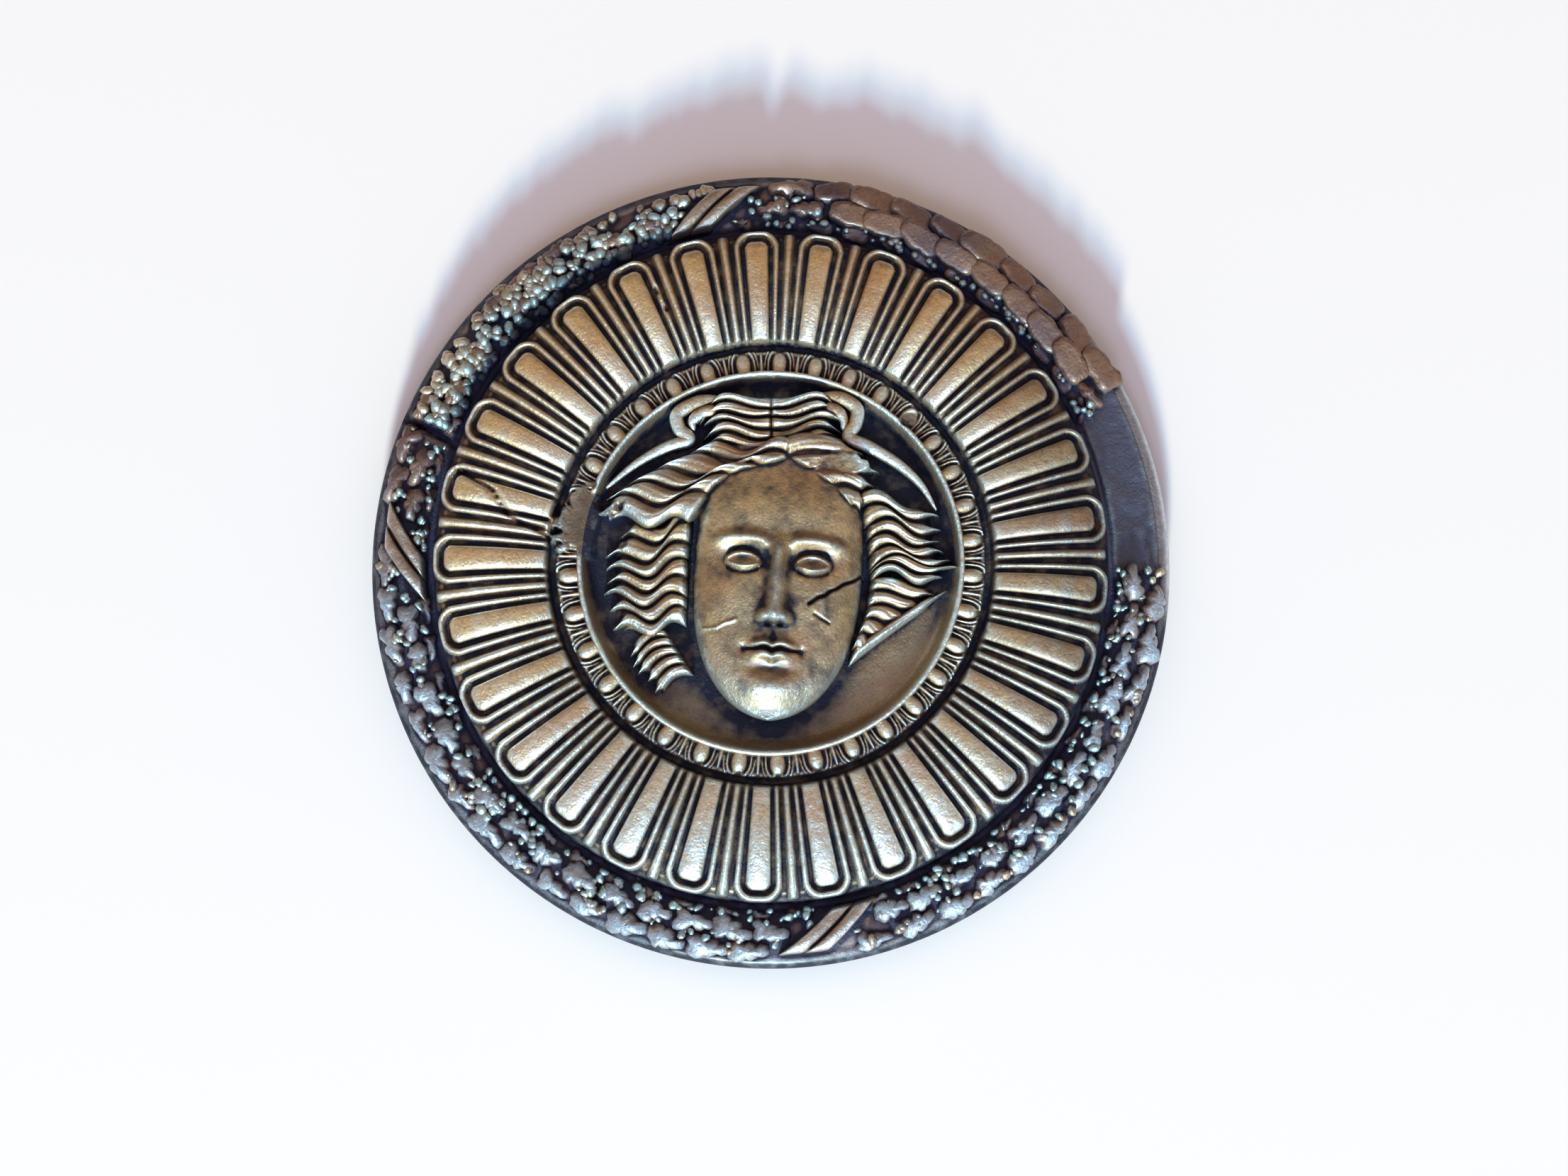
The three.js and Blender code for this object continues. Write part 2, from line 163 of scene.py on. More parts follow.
def patchBody(rows, underside):  # closed body under a grid of points, rows laid counter-clockwise
    top = np.asarray(rows)
    rowCount, columnCount = top.shape[:2]
    size = rowCount * columnCount
    index = np.arange(size).reshape(rowCount, columnCount)
    outline = [*index[0, :-1], *index[:-1, -1], *index[-1, :0:-1], *index[:0:-1, 0]]
    foot = top.reshape(-1, 3)[outline]
    foot[:, 2] = underside
    points = np.concatenate([top.reshape(-1, 3), foot])
    faces = gridFaces(rowCount, columnCount)
    count = len(outline)
    for step, here in enumerate(outline):
        following = (step + 1) % count
        faces.append([int(here), size + step, size + following, int(outline[following])])
    faces.append([size + step for step in reversed(range(count))])
    return points, faces


def joinBodies(bodies):
    points, faces, start = [], [], 0
    for bodyPoints, bodyFaces in bodies:
        points.append(bodyPoints)
        faces += [[corner + start for corner in face] for face in bodyFaces]
        start += len(bodyPoints)
    return np.concatenate(points), faces


# Node trees: inputs are made by name, and a modifier's values are set by the socket's identifier.


def newTree(name, kind, inputs, outputs):
    tree = bpy.data.node_groups.new(name, kind)
    for side, sockets in (("INPUT", inputs), ("OUTPUT", outputs)):
        for label, socketKind in sockets.items():
            tree.interface.new_socket(name=label, in_out=side, socket_type="NodeSocket" + socketKind)
    return tree, tree.nodes.new("NodeGroupInput").outputs, tree.nodes.new("NodeGroupOutput").inputs


def addNode(tree, kind, settings=None, **sockets):  # a socket's name, or its place after an underscore
    node = tree.nodes.new(kind)
    for label, value in (settings or {}).items():
        setattr(node, label, value)
    for label, value in sockets.items():
        key = int(label[1:]) if label[0] == "_" else label.replace("_", " ")
        if isinstance(value, bpy.types.NodeSocket):
            tree.links.new(value, node.inputs[key])
        else:
            node.inputs[key].default_value = value
    return node


def mathStep(tree, operation, first, second=0.0):
    return addNode(tree, "ShaderNodeMath", {"operation": operation}, _0=first, _1=second).outputs[0]


def endTree(tree, geometry, given, result):  # copies made real, with their material
    whole = addNode(tree, "GeometryNodeRealizeInstances", Geometry=geometry)
    coated = addNode(tree, "GeometryNodeSetMaterial", Geometry=whole.outputs[0], Material=given["Material"])
    tree.links.new(coated.outputs[0], result[0])
    return tree


def growNodes(source, name, tree, values):  # the tree's result as a plain mesh object at the origin
    modifier = source.modifiers.new("growth", "NODES")
    modifier.node_group = tree
    for item in tree.interface.items_tree:
        if item.in_out == "INPUT" and item.name in values:
            modifier[item.identifier] = values[item.name]
    evaluated = source.evaluated_get(bpy.context.evaluated_depsgraph_get())
    mesh = bpy.data.meshes.new_from_object(evaluated)
    mesh.name = name
    mesh.polygons.foreach_set("use_smooth", [True] * len(mesh.polygons))
    bpy.data.objects.remove(source)
    return linkObject(name, mesh)


# Finish of the bronze. The wear attribute, which also carries painted highlights, and the soil attribute,
# which also carries painted shade, are measured on the finished relief further down.

finish = {  # colours of the metal: worn, which also paints highlights; plain; deep, for soil and painted shade; and how its masks break up
    "wornAndLit": (0.70, 0.83, 0.90, 1),
    "plain": (0.47, 0.34, 0.18, 1),
    "tinted": (0.39, 0.23, 0.11, 1),
    "deep": (0.012, 0.014, 0.034, 1),
    "wornLitAmount": 0.9,
    "soilShadeAmount": 1.0,
    "metal": 0.86,
    "metalLost": 0.35,  # under the soil and painted shade
    "coat": 0.8,
    "coatRoughness": 0.32,
    "coatIor": 2.3,
    "wornRoughness": 0.38,
    "plainRoughness": 0.48,
    "deepRoughness": 0.62,
    "grainSize": 0.26,
    "grainDepth": 0.1,
    "speckSize": 0.3,
    "speckShare": 0.35,
}


def makeMaskGroup():  # a measured mask, strengthened and broken up by a soft cloud
    inputs = {"Mask": "Float", "Amount": "Float", "Breakup": "Float", "Size": "Float", "Vector": "Vector"}
    tree, given, result = newTree("brokenMask", "ShaderNodeTree", inputs, {"Mask": "Float"})
    step = partial(mathStep, tree)
    cloud = addNode(tree, "ShaderNodeTexNoise", Vector=given["Vector"], Detail=5.0,
                    Scale=step("DIVIDE", 1.0, given["Size"]))
    change = step("MULTIPLY", step("SUBTRACT", cloud.outputs["Fac"], 0.5), given["Breakup"])
    scaled = step("MULTIPLY", given["Mask"], given["Amount"])
    broken = step("ADD", scaled, step("MULTIPLY", change, scaled))
    clamped = addNode(tree, "ShaderNodeClamp", Value=broken)
    tree.links.new(clamped.outputs[0], result["Mask"])
    return tree


def makeGrainGroup():  # cast grain: fine pitting over a soft unevenness, as a height in metres
    inputs = {"Vector": "Vector", "Size": "Float", "Depth": "Float"}
    tree, given, result = newTree("castGrain", "ShaderNodeTree", inputs, {"Height": "Float"})
    step = partial(mathStep, tree)
    place = given["Vector"]
    scale = step("DIVIDE", 1.0, given["Size"])
    fine = addNode(tree, "ShaderNodeTexNoise", Vector=place, Scale=scale, Detail=4.0, Roughness=0.62)
    coarseScale = step("MULTIPLY", scale, 0.22)
    coarse = addNode(tree, "ShaderNodeTexNoise", Vector=place, Scale=coarseScale, Detail=2.0)
    pits = addNode(tree, "ShaderNodeTexVoronoi", Vector=place, Scale=step("MULTIPLY", scale, 0.5))
    pit = addNode(tree, "ShaderNodeMapRange", Value=pits.outputs["Distance"], From_Min=0.05, From_Max=0.3)
    uneven = step("ADD", fine.outputs["Fac"], step("MULTIPLY", coarse.outputs["Fac"], 1.6))
    pitted = step("ADD", uneven, step("MULTIPLY", pit.outputs["Result"], 0.35))
    tree.links.new(step("MULTIPLY", pitted, given["Depth"]), result["Height"])
    return tree


maskGroup = makeMaskGroup()
grainGroup = makeGrainGroup()


def mixColour(tree, share, first, second):
    mix = tree.nodes.new("ShaderNodeMix")
    mix.data_type = "RGBA"
    for key, value in ((0, share), (6, first), (7, second)):
        if isinstance(value, bpy.types.NodeSocket):
            tree.links.new(value, mix.inputs[key])
        else:
            mix.inputs[key].default_value = value
    return mix.outputs[2]


def makeBronze(name, values):
    material = bpy.data.materials.new(name)
    material.use_nodes = True
    tree = material.node_tree
    shader = tree.nodes["Principled BSDF"]
    step = partial(mathStep, tree)
    place = addNode(tree, "ShaderNodeTexCoord").outputs["Object"]

    def brokenMask(label, amount, breakup, size):  # from the attribute of that name
        mask = addNode(tree, "ShaderNodeAttribute", {"attribute_name": label}).outputs["Fac"]
        return addNode(tree, "ShaderNodeGroup", {"node_tree": maskGroup}, Mask=mask, Vector=place,
                       Amount=amount, Breakup=breakup, Size=size * mm).outputs["Mask"]

    def cloudMask(size, detail, low, high):
        cloud = addNode(tree, "ShaderNodeTexNoise", Vector=place, Scale=1 / (size * mm), Detail=detail)
        return addNode(tree, "ShaderNodeMapRange", Value=cloud.outputs["Fac"],
                       From_Min=low, From_Max=high).outputs["Result"]

    # the worn colour also paints highlights, and the deep colour paints shade as well as soil
    wearLightMask = brokenMask("wearAndLight", values["wornLitAmount"], 2.2, 0.6)
    soilShadeMask = brokenMask("soilAndShade", values["soilShadeAmount"], 0.8, 1.4)
    ground = mixColour(tree, cloudMask(7, 3.0, 0.42, 0.62), values["plain"], values["tinted"])
    wornAndLit = mixColour(tree, wearLightMask, ground, values["wornAndLit"])
    speckShare = step("MULTIPLY", cloudMask(values["speckSize"], 2.0, 0.5, 0.68), values["speckShare"])
    speckled = mixColour(tree, speckShare, wornAndLit, values["deep"])
    tree.links.new(mixColour(tree, soilShadeMask, speckled, values["deep"]), shader.inputs["Base Color"])

    wornSpread = values["wornRoughness"] - values["plainRoughness"]
    deepSpread = values["deepRoughness"] - values["plainRoughness"]
    rough = step("ADD", step("MULTIPLY", wearLightMask, wornSpread), values["plainRoughness"])
    rough = step("ADD", rough, step("MULTIPLY", soilShadeMask, deepSpread))
    tree.links.new(rough, shader.inputs["Roughness"])
    metal = step("SUBTRACT", values["metal"], step("MULTIPLY", soilShadeMask, values["metalLost"]))
    tree.links.new(metal, shader.inputs["Metallic"])
    clean = step("SUBTRACT", 1.0, soilShadeMask)
    tree.links.new(step("MULTIPLY", clean, values["coat"]), shader.inputs["Coat Weight"])
    shader.inputs["Coat Roughness"].default_value = values["coatRoughness"]
    shader.inputs["Coat IOR"].default_value = values["coatIor"]

    grain = addNode(tree, "ShaderNodeGroup", {"node_tree": grainGroup}, Vector=place,
                    Size=values["grainSize"] * mm, Depth=values["grainDepth"])
    relief = addNode(tree, "ShaderNodeBump", Height=grain.outputs["Height"], Strength=1.0, Distance=mm)
    tree.links.new(relief.outputs["Normal"], shader.inputs["Normal"])
    return material


reliefBronze = makeBronze("reliefBronze", finish)
tongueBronze = makeBronze("tongueBronze", {
    **finish,
    "plain": (0.62, 0.40, 0.16, 1),
    "tinted": (0.54, 0.28, 0.09, 1),
})
wreathBronze = makeBronze("wreathBronze", {
    **finish,
    "wornAndLit": (0.36, 0.44, 0.56, 1),
    "plain": (0.24, 0.135, 0.095, 1),
    "tinted": (0.13, 0.08, 0.09, 1),
    "deep": (0.022, 0.02, 0.055, 1),
    "coat": 0.3,
    "wornLitAmount": 0.9,
    "soilShadeAmount": 1.1,
    "metal": 0.6,
    "wornRoughness": 0.42,
    "plainRoughness": 0.5,
    "grainSize": 0.3,
    "grainDepth": 0.11,
})
noduleBronze = makeBronze("noduleBronze", {
    **finish,
    "wornAndLit": (0.32, 0.54, 0.64, 1),
    "plain": (0.50, 0.40, 0.28, 1),
    "tinted": (0.24, 0.17, 0.13, 1),
})
ribbonBronze = makeBronze("ribbonBronze", {
    **finish,
    "wornAndLit": (0.62, 0.62, 0.64, 1),
    "plain": (0.30, 0.20, 0.12, 1),
    "tinted": (0.22, 0.13, 0.09, 1),
    "coat": 0.6,
})
rimBronze = makeBronze("rimBronze", {
    **finish,
    "wornAndLit": (0.55, 0.63, 0.74, 1),
    "plain": (0.17, 0.18, 0.24, 1),
    "tinted": (0.20, 0.16, 0.17, 1),
    "coat": 0.6,
})
brokenBronze = makeBronze("brokenBronze", {
    **finish,
    "plain": (0.055, 0.055, 0.105, 1),
    "tinted": (0.035, 0.035, 0.075, 1),
    "coat": 0.25,
    "soilShadeAmount": 0.3,
    "metal": 0.5,
    "plainRoughness": 0.55,
})
print("finish ready")


# The damage that all the bronze carries: cracks, patches worn smooth and the break in the wreath.

damage = {
    "breakStart": -1.5,
    "breakEndOutside": 31,
    "breakEndInside": 23,
    "breakMiddle": 15,
    "wreathCrack": 158.3,
    "cracks": [  # corners in millimetres, half width and depth; a negative depth stands proud
        {"line": [(8.9, -1.6), (6.5, -2.8), (3.8, -4.45)], "width": 0.15, "depth": 0.75},
        {"line": [(-6.8, -6.8), (-5.3, -6.75), (-3.4, -6.0)], "width": 0.16, "depth": -0.22},
        {"line": [(4.3, -5.5), (5.8, -6.45)], "width": 0.14, "depth": 0.3},
        {"line": [(-31.6, 12.2), (-37.4, 15.0)], "width": 0.32, "depth": 2.4},
        {"line": [(-31.0, 9.1), (-27.4, 6.9), (-26.2, 4.6), (-21.4, 2.2)], "width": 0.2, "depth": 0.75},
        {"line": [(21.5, -3.4), (21.2, -7.0)], "width": 0.12, "depth": 0.4},
    ],
    "patches": [  # worn smooth: middle, half sizes, height of the middle, fall towards +X, outline, stain
        ((-18.3, 3.5), (3.0, 3.3), 6.7, 0.2, 0.5, 1.2),
        ((7.0, 9.7), (2.6, 1.0), 8.0, 0.05, 0.3, 0.4),
        ((13.9, 14.3), (0.9, 0.8), 6.4, 0, 0.3, 0.9),
        ((-11.6, 27.1), (0.35, 0.3), 7.3, 0, 0.2, 1.2),
        ((-10.3, 25.2), (0.3, 0.25), 7.3, 0, 0.2, 1.2),
    ],
}


def lineDistance(x, y, line):
    nearest = x * 0 + 1e3
    for (startX, startY), (endX, endY) in zip(line, line[1:]):
        runX, runY = endX - startX, endY - startY
        along = ((x - startX) * runX + (y - startY) * runY) / (runX ** 2 + runY ** 2)
        along = np.clip(along, 0, 1)
        nearest = np.minimum(nearest, np.hypot(x - startX - runX * along, y - startY - runY * along))
    return nearest


def patchShares(x, y):  # how far each patch reaches at a place, its height there and how it stains
    for middle, half, height, fall, ragged, stain in damage["patches"]:
        across, up = (x - middle[0]) / half[0], (y - middle[1]) / half[1]
        smooth = height - fall * (x - middle[0]) + 0.06 * softNoise(x, y, 0.7, 23)
        torn = ragged * (0.7 * softNoise(x, y, 1.5, 22) + 0.6 * softNoise(x, y, 0.6, 24))
        yield smoothStep(1.25, 0.8, np.hypot(across, up) + torn), smooth, stain


def wornPatch(x, y):
    return np.maximum.reduce([share * stain for share, _, stain in patchShares(x, y)])


def damagePieces():  # cracks and worn patches, cut alike into every piece that they cross
    for piece in pieces.values():
        points = meshPoints(piece)
        x, y, z = points.T
        wander = 0.12 * softNoise(x, y, 0.9, 21)
        cut = z.copy()
        for crack in damage["cracks"]:
            gap = lineDistance(x + wander, y - wander, crack["line"])
            cut -= crack["depth"] * bump(gap, crack["width"])
        for share, smooth, _ in patchShares(x, y):
            cut = blend(cut, smooth, share * (z > levels["dish"] + 0.1))
        isFront = z > levels["edge"] + 0.1
        points[:, 2] = np.where(isFront, np.maximum(cut, levels["edge"]), z)
        movePoints(piece, points)


def wreathDepth(radius):  # 0 at the outside of the wreath and 1 at its inside
    return (wreathRadius - radius) / (bands["wreath"] - bands["groove"])


def lostShare(radius, turn):  # 1 where the wreath has broken away, with a slanting, ragged end
    depth = np.clip(wreathDepth(radius), 0, 1)
    end = blend(damage["breakEndOutside"], damage["breakEndInside"], depth)
    ragged = 0.5 * np.sin(radius * 5.1) + 0.3 * np.sin(radius * 11.3)
    past = turnBetween(turn, damage["breakStart"] + ragged)
    left = turnBetween(turn, end + ragged)
    near = np.abs(turnBetween(turn, damage["breakMiddle"])) < 40
    return smoothStep(-0.3, 0.3, past) * smoothStep(0.3, -0.3, left) * near


# The round body under the ornament: the back, the edge, the rim, the beds of the rings and the dish.

body = {
    "columns": 690,
    "profile": [  # radius and height from the middle of the dish outwards
        (0, levels["dish"] - levels["hollow"]),
        (dishRadius * 0.6, levels["dish"] - levels["hollow"] * 0.5),
        (dishRadius - 1.3, levels["dish"] + 0.02),
        (dishRadius - 0.8, levels["dish"] + 0.25),
        (dishRadius - 0.4, levels["dish"] + 0.75),
        (dishRadius - 0.05, levels["dish"] + 1.65),
        (dishRadius + 0.2, levels["fillet"] - 0.07),
        (dishRadius + 0.38, levels["fillet"]),
        (dishRadius + 0.55, levels["fillet"] - 0.08),
        (dishRadius + 0.72, levels["eggs"] - 0.1),
        (filletRadius + 0.1, levels["eggs"] - 0.9),
        (eggRadius, levels["groove"] - 0.6),
        (tongueInner, levels["groove"] - 0.5),
        (tongueInner + 0.6, levels["groove"]),
        (tongueOuter - 0.6, levels["groove"]),
        (tongueOuter, levels["wreathFoot"] - 0.3),
        (tongueOuter + 0.6, levels["wreathFoot"] - 0.4),
    ],
    "bedSink": 1.55,
}


def wreathBed(radius):
    swell = np.sin(math.pi * np.clip(wreathDepth(radius), 0, 1)) ** 0.5
    crest = levels["wreathCrest"] - body["bedSink"]
    return blend(levels["wreathFoot"] - 0.5, crest, swell)


def rimHeight(radius):
    share = np.clip((radius - wreathRadius) / bands["rim"], 0, 1)
    return blend(levels["wreathFoot"] - 0.1, levels["edge"], share ** 2.6)


def frontHeight(radius, turn):
    profile = np.array(body["profile"])
    height = np.interp(radius, profile[:, 0], profile[:, 1])
    inWreath = smoothStep(tongueOuter + 0.35, tongueOuter + 0.7, radius)
    height = blend(height, wreathBed(radius), inWreath)
    lost = lostShare(radius, turn) * inWreath
    x, y, _ = np.moveaxis(ringPoints(radius, turn, radius), -1, 0)
    hollow = 0.25 * np.sin(math.pi * np.clip((radius - tongueOuter) / bands["wreath"], 0, 1))
    lostFloor = levels["lost"] - hollow + 0.07 * softNoise(x, y, 1.6, 3) + 0.03 * softNoise(x, y, 0.5, 4)
    bead = bump(radius - wreathRadius + 0.12, 0.13) * smoothStep(-0.1, 0.3, softNoise(x, y, 1.3, 7))
    height = blend(height, lostFloor + 0.16 * bead, lost)
    onRim = smoothStep(wreathRadius - 0.25, wreathRadius, radius)
    return blend(height, rimHeight(radius) + 0.03 * softNoise(x, y, 0.9, 5), onRim)


def medallionBody():
    columnCount = body["columns"]
    turns = np.arange(columnCount) * 360 / columnCount
    radii = np.concatenate([
        np.linspace(outerRadius - 0.02, wreathRadius + 0.1, 8),
        np.linspace(wreathRadius, tongueOuter + 0.6, 20),
        np.linspace(tongueOuter + 0.45, tongueOuter - 0.3, 4),
        np.linspace(tongueOuter - 0.9, tongueInner + 0.9, 4),
        np.linspace(tongueInner + 0.3, filletRadius + 0.1, 6),
        np.linspace(filletRadius, dishRadius - 0.15, 13),
        np.linspace(dishRadius - 0.35, 1, 66),
    ])
    bevel = levels["bevel"]
    wall = [(outerRadius - 4, 0), (outerRadius - bevel - 0.2, 0), (outerRadius - bevel, 0)]
    wall += [(outerRadius - 0.15, bevel * 0.5), (outerRadius, bevel)]
    wall += [(outerRadius, height) for height in np.linspace(1, levels["edge"] - 0.15, 7)]
    rings = []
    for radius, height in wall:
        uneven = softNoise(turns, turns * 0 + height, 3, 6) - 1
        wobble = 0 if height in (0, bevel) else 0.04 * uneven
        rings.append(ringPoints(turns * 0 + radius + wobble, turns, turns * 0 + height))
    for radius in turns * 0 + radii[:, None]:
        rings.append(ringPoints(radius, turns, np.maximum(frontHeight(radius, turns), 1)))
    points = [[0, 0, 0], *np.concatenate(rings).tolist()]
    top = len(points)
    points.append([0, 0, levels["dish"] - levels["hollow"]])
    faces = gridFaces(len(rings), columnCount, 1, roundColumns=True)
    following = np.roll(np.arange(columnCount), -1)
    last = 1 + (len(rings) - 1) * columnCount
    faces += [[0, int(1 + after), 1 + here] for here, after in enumerate(following)]
    faces += [[top, last + here, int(last + after)] for here, after in enumerate(following)]
    piece = meshObject("medallionBody", points, faces, wreathBronze)
    for material in (reliefBronze, brokenBronze, rimBronze):
        piece.data.materials.append(material)
    radius, turn = polar(np.array([face.center for face in piece.data.polygons]) / mm)
    isLost = (radius < wreathRadius) & (lostShare(radius, turn) > 0.5)
    slots = [radius < tongueOuter, isLost, radius > wreathRadius]
    piece.data.polygons.foreach_set("material_index", np.select(slots, [1, 2, 3], 0))
    return piece


# Rings of ornament: one unit is laid out flat, copied, and wrapped around the medallion.
# In a unit x is a share of the pitch, y the radius and z the height.


def makeRingTree():
    inputs = {"Unit": "Geometry", "Count": "Int", "Shift": "Float", "Slow Drift": "Float",
              "Slow Phase": "Float", "Quick Drift": "Float", "Quick Phase": "Float", "Weld": "Float",
              "Material": "Material"}
    tree, given, result = newTree("ornamentRing", "GeometryNodeTree", inputs, {"Ring": "Geometry"})
    step = partial(mathStep, tree)
    points = addNode(tree, "GeometryNodePoints", Count=given["Count"])
    copies = addNode(tree, "GeometryNodeInstanceOnPoints", Points=points.outputs[0], Instance=given["Unit"])
    index = addNode(tree, "GeometryNodeInputIndex").outputs[0]
    onCopies = {"data_type": "FLOAT", "domain": "INSTANCE"}
    numbered = addNode(tree, "GeometryNodeStoreNamedAttribute", onCopies,
                       Geometry=copies.outputs[0], Name="copy", Value=index)
    laid = addNode(tree, "GeometryNodeRealizeInstances", Geometry=numbered.outputs[0])
    copy = addNode(tree, "GeometryNodeInputNamedAttribute", {"data_type": "FLOAT"}, Name="copy").outputs[0]
    position = addNode(tree, "GeometryNodeInputPosition").outputs[0]
    place = addNode(tree, "ShaderNodeSeparateXYZ", Vector=position).outputs
    pitch = step("DIVIDE", 360.0, given["Count"])
    base = step("MULTIPLY", step("ADD", copy, place["X"]), pitch)

    def drift(name, speed):  # the copies stand unevenly, as waves round the ring
        turned = step("ADD", step("MULTIPLY", base, speed), given[name + " Phase"])
        return step("MULTIPLY", step("COSINE", step("RADIANS", turned)), given[name + " Drift"])

    drifted = step("ADD", drift("Slow", 1.0), drift("Quick", 2.0))
    radians = step("RADIANS", step("ADD", step("ADD", base, given["Shift"]), drifted))
    wrapped = addNode(tree, "ShaderNodeCombineXYZ", Z=place["Z"],
                      X=step("MULTIPLY", place["Y"], step("COSINE", radians)),
                      Y=step("MULTIPLY", place["Y"], step("SINE", radians)))
    moved = addNode(tree, "GeometryNodeSetPosition", Geometry=laid.outputs[0], Position=wrapped.outputs[0])
    welded = addNode(tree, "GeometryNodeMergeByDistance", Geometry=moved.outputs[0], Distance=given["Weld"])
    return endTree(tree, welded.outputs[0], given, result)


ringTree = makeRingTree()


def ringPiece(name, settings, shares, radii, heightOf, underside, material):
    share, radius = np.meshgrid(shares, radii)
    top = np.stack([share / mm, radius, heightOf(share, radius)], -1)
    lower = top[[-1, 0]]
    lower[..., 2] = underside
    points = np.concatenate([top, lower])
    faces = [face[::-1] for face in gridFaces(len(radii) + 2, len(shares), roundRows=True)]
    unit = meshObject("ornamentUnit", points.reshape(-1, 3), faces)  # open where it meets its neighbours
    values = {"Count": settings["count"], "Shift": settings["shift"], "Material": material}
    values["Weld"] = 0.002 * mm
    for speed in ("Slow", "Quick"):
        values[speed + " Drift"], values[speed + " Phase"] = settings[speed.lower()]
    return growNodes(unit, name, ringTree, values)


tongues = {
    "count": 29,
    "shift": -5.87,
    "slow": (1.02, 29.4),  # how far the copies drift, in degrees, and at what turn
    "quick": (1.08, -98.2),
    "borderSide": 3.8,  # half width in degrees
    "borderWidth": 0.36,
    "border": 0.36,
    "endInset": 0.5,
    "corner": 1.75,
    "grooveSide": (-0.8, -0.98),  # across the border, where its inner side falls
    "domeStart": -0.92,
    "domeWidth": 1.2,
    "dome": 0.5,
    "groove": 0.6,
    "dart": 0.34,
    "dartWidth": 0.5,
    "dartEnd": (0.35, 0.65),
}


def tongueHeight(share, radius):
    middleRadius = (tongueInner + tongueOuter) / 2
    archShare = (radius - middleRadius) / (bands["tongues"] / 2)
    arch = blend(levels["tongueCrest"], levels["tongueFoot"], archShare ** 2)
    pitch = 360 / tongues["count"]
    scale = radius / tongueOuter
    across = np.abs(share) * pitch * math.radians(1) * tongueOuter  # as wide as at the outer edge
    inset = tongueOuter - radius
    sideGap = across - tongues["borderSide"] * math.radians(1) * tongueOuter
    endGap = tongues["endInset"] - inset
    corner, groove = tongues["corner"], tongues["groove"]
    outside = np.hypot(np.maximum(sideGap + corner, 0), np.maximum(endGap + corner, 0))
    gap = np.minimum(np.maximum(sideGap, endGap) + corner, 0) + outside - corner
    inTongue = np.clip((tongues["domeStart"] - gap) / tongues["domeWidth"], 0, 1)
    dome = tongues["dome"] * arc(1 - inTongue)
    floor = -groove * (1 - smoothStep(*tongues["grooveSide"], gap))
    border = (tongues["border"] + groove) * arc(gap / tongues["borderWidth"])
    toValley = pitch / 2 * math.radians(1) * tongueOuter - across
    dart = (tongues["dart"] + groove) * arc(toValley / tongues["dartWidth"])
    relief = floor + dome + border + dart * smoothStep(*tongues["dartEnd"], inset)
    root = smoothStep(0, 0.55, radius - tongueInner)
    lip = smoothStep(0.02, 0.4, inset)
    height = arch + relief * (0.55 + 0.45 * scale) * root
    height = blend(levels["groove"] - 0.25, height, root ** 0.6)
    outsideDrop = smoothStep(0.25, 0.6, gap) * smoothStep(1.2, 0.2, inset) * 0.5
    return blend(levels["wreathFoot"] - 0.2, height - outsideDrop, lip ** 0.7)


def tongueRing():
    radii = np.concatenate([
        np.linspace(tongueInner, tongueInner + 1, 9),
        np.linspace(tongueInner + 1.5, tongueOuter - 4, 14),
        np.linspace(tongueOuter - 3.6, tongueOuter, 33),
    ])
    underside = levels["wreathFoot"] - 1
    shares = np.linspace(-0.5, 0.5, 49)
    return ringPiece("tongueRing", tongues, shares, radii, tongueHeight, underside, tongueBronze)


eggs = {
    "count": 34,
    "shift": 5.06,
    "slow": (2.63, 63.5),
    "quick": (0.0, 0.0),
    "halfWidth": 0.82,
    "roundInset": 1.35,
    "relief": 0.62,
    "shells": [(0.85, 1.38, 0.17), (0.6, 1.8, 0.13)],  # height, distance in eggs and half width
    "egg": 1.25,
    "dart": 0.95,
    "floor": 0.55,
}


def eggHeight(share, radius):
    pitch = 360 / eggs["count"]
    across = np.abs(share) * pitch * math.radians(1) * radius
    inset = eggRadius - radius
    beyond = np.maximum(eggs["roundInset"] - inset, 0)
    gap = np.hypot(across / eggs["halfWidth"], beyond / (eggs["roundInset"] - 0.22))
    toValley = pitch / 2 * math.radians(1) * radius - across
    forms = [eggs["egg"] * arc(gap)]
    forms += [height * arc((gap - place) / width) for height, place, width in eggs["shells"]]
    forms.append(eggs["dart"] * arc(toValley / (0.06 + 0.1 * inset)) * smoothStep(0.1, 0.3, inset))
    height = levels["eggs"] + eggs["relief"] * (np.maximum.reduce(forms) - eggs["floor"])
    return blend(levels["groove"] - 0.4, height, smoothStep(0, 0.16, inset) ** 0.7)


def eggRing():
    radii = np.linspace(filletRadius - 0.25, eggRadius, 23)
    underside = levels["groove"] - 1
    return ringPiece("eggRing", eggs, np.linspace(-0.5, 0.5, 45), radii, eggHeight, underside, reliefBronze)


# The wreath: lobed leaves in three rows that point one way round, berries between them, and ribbons.

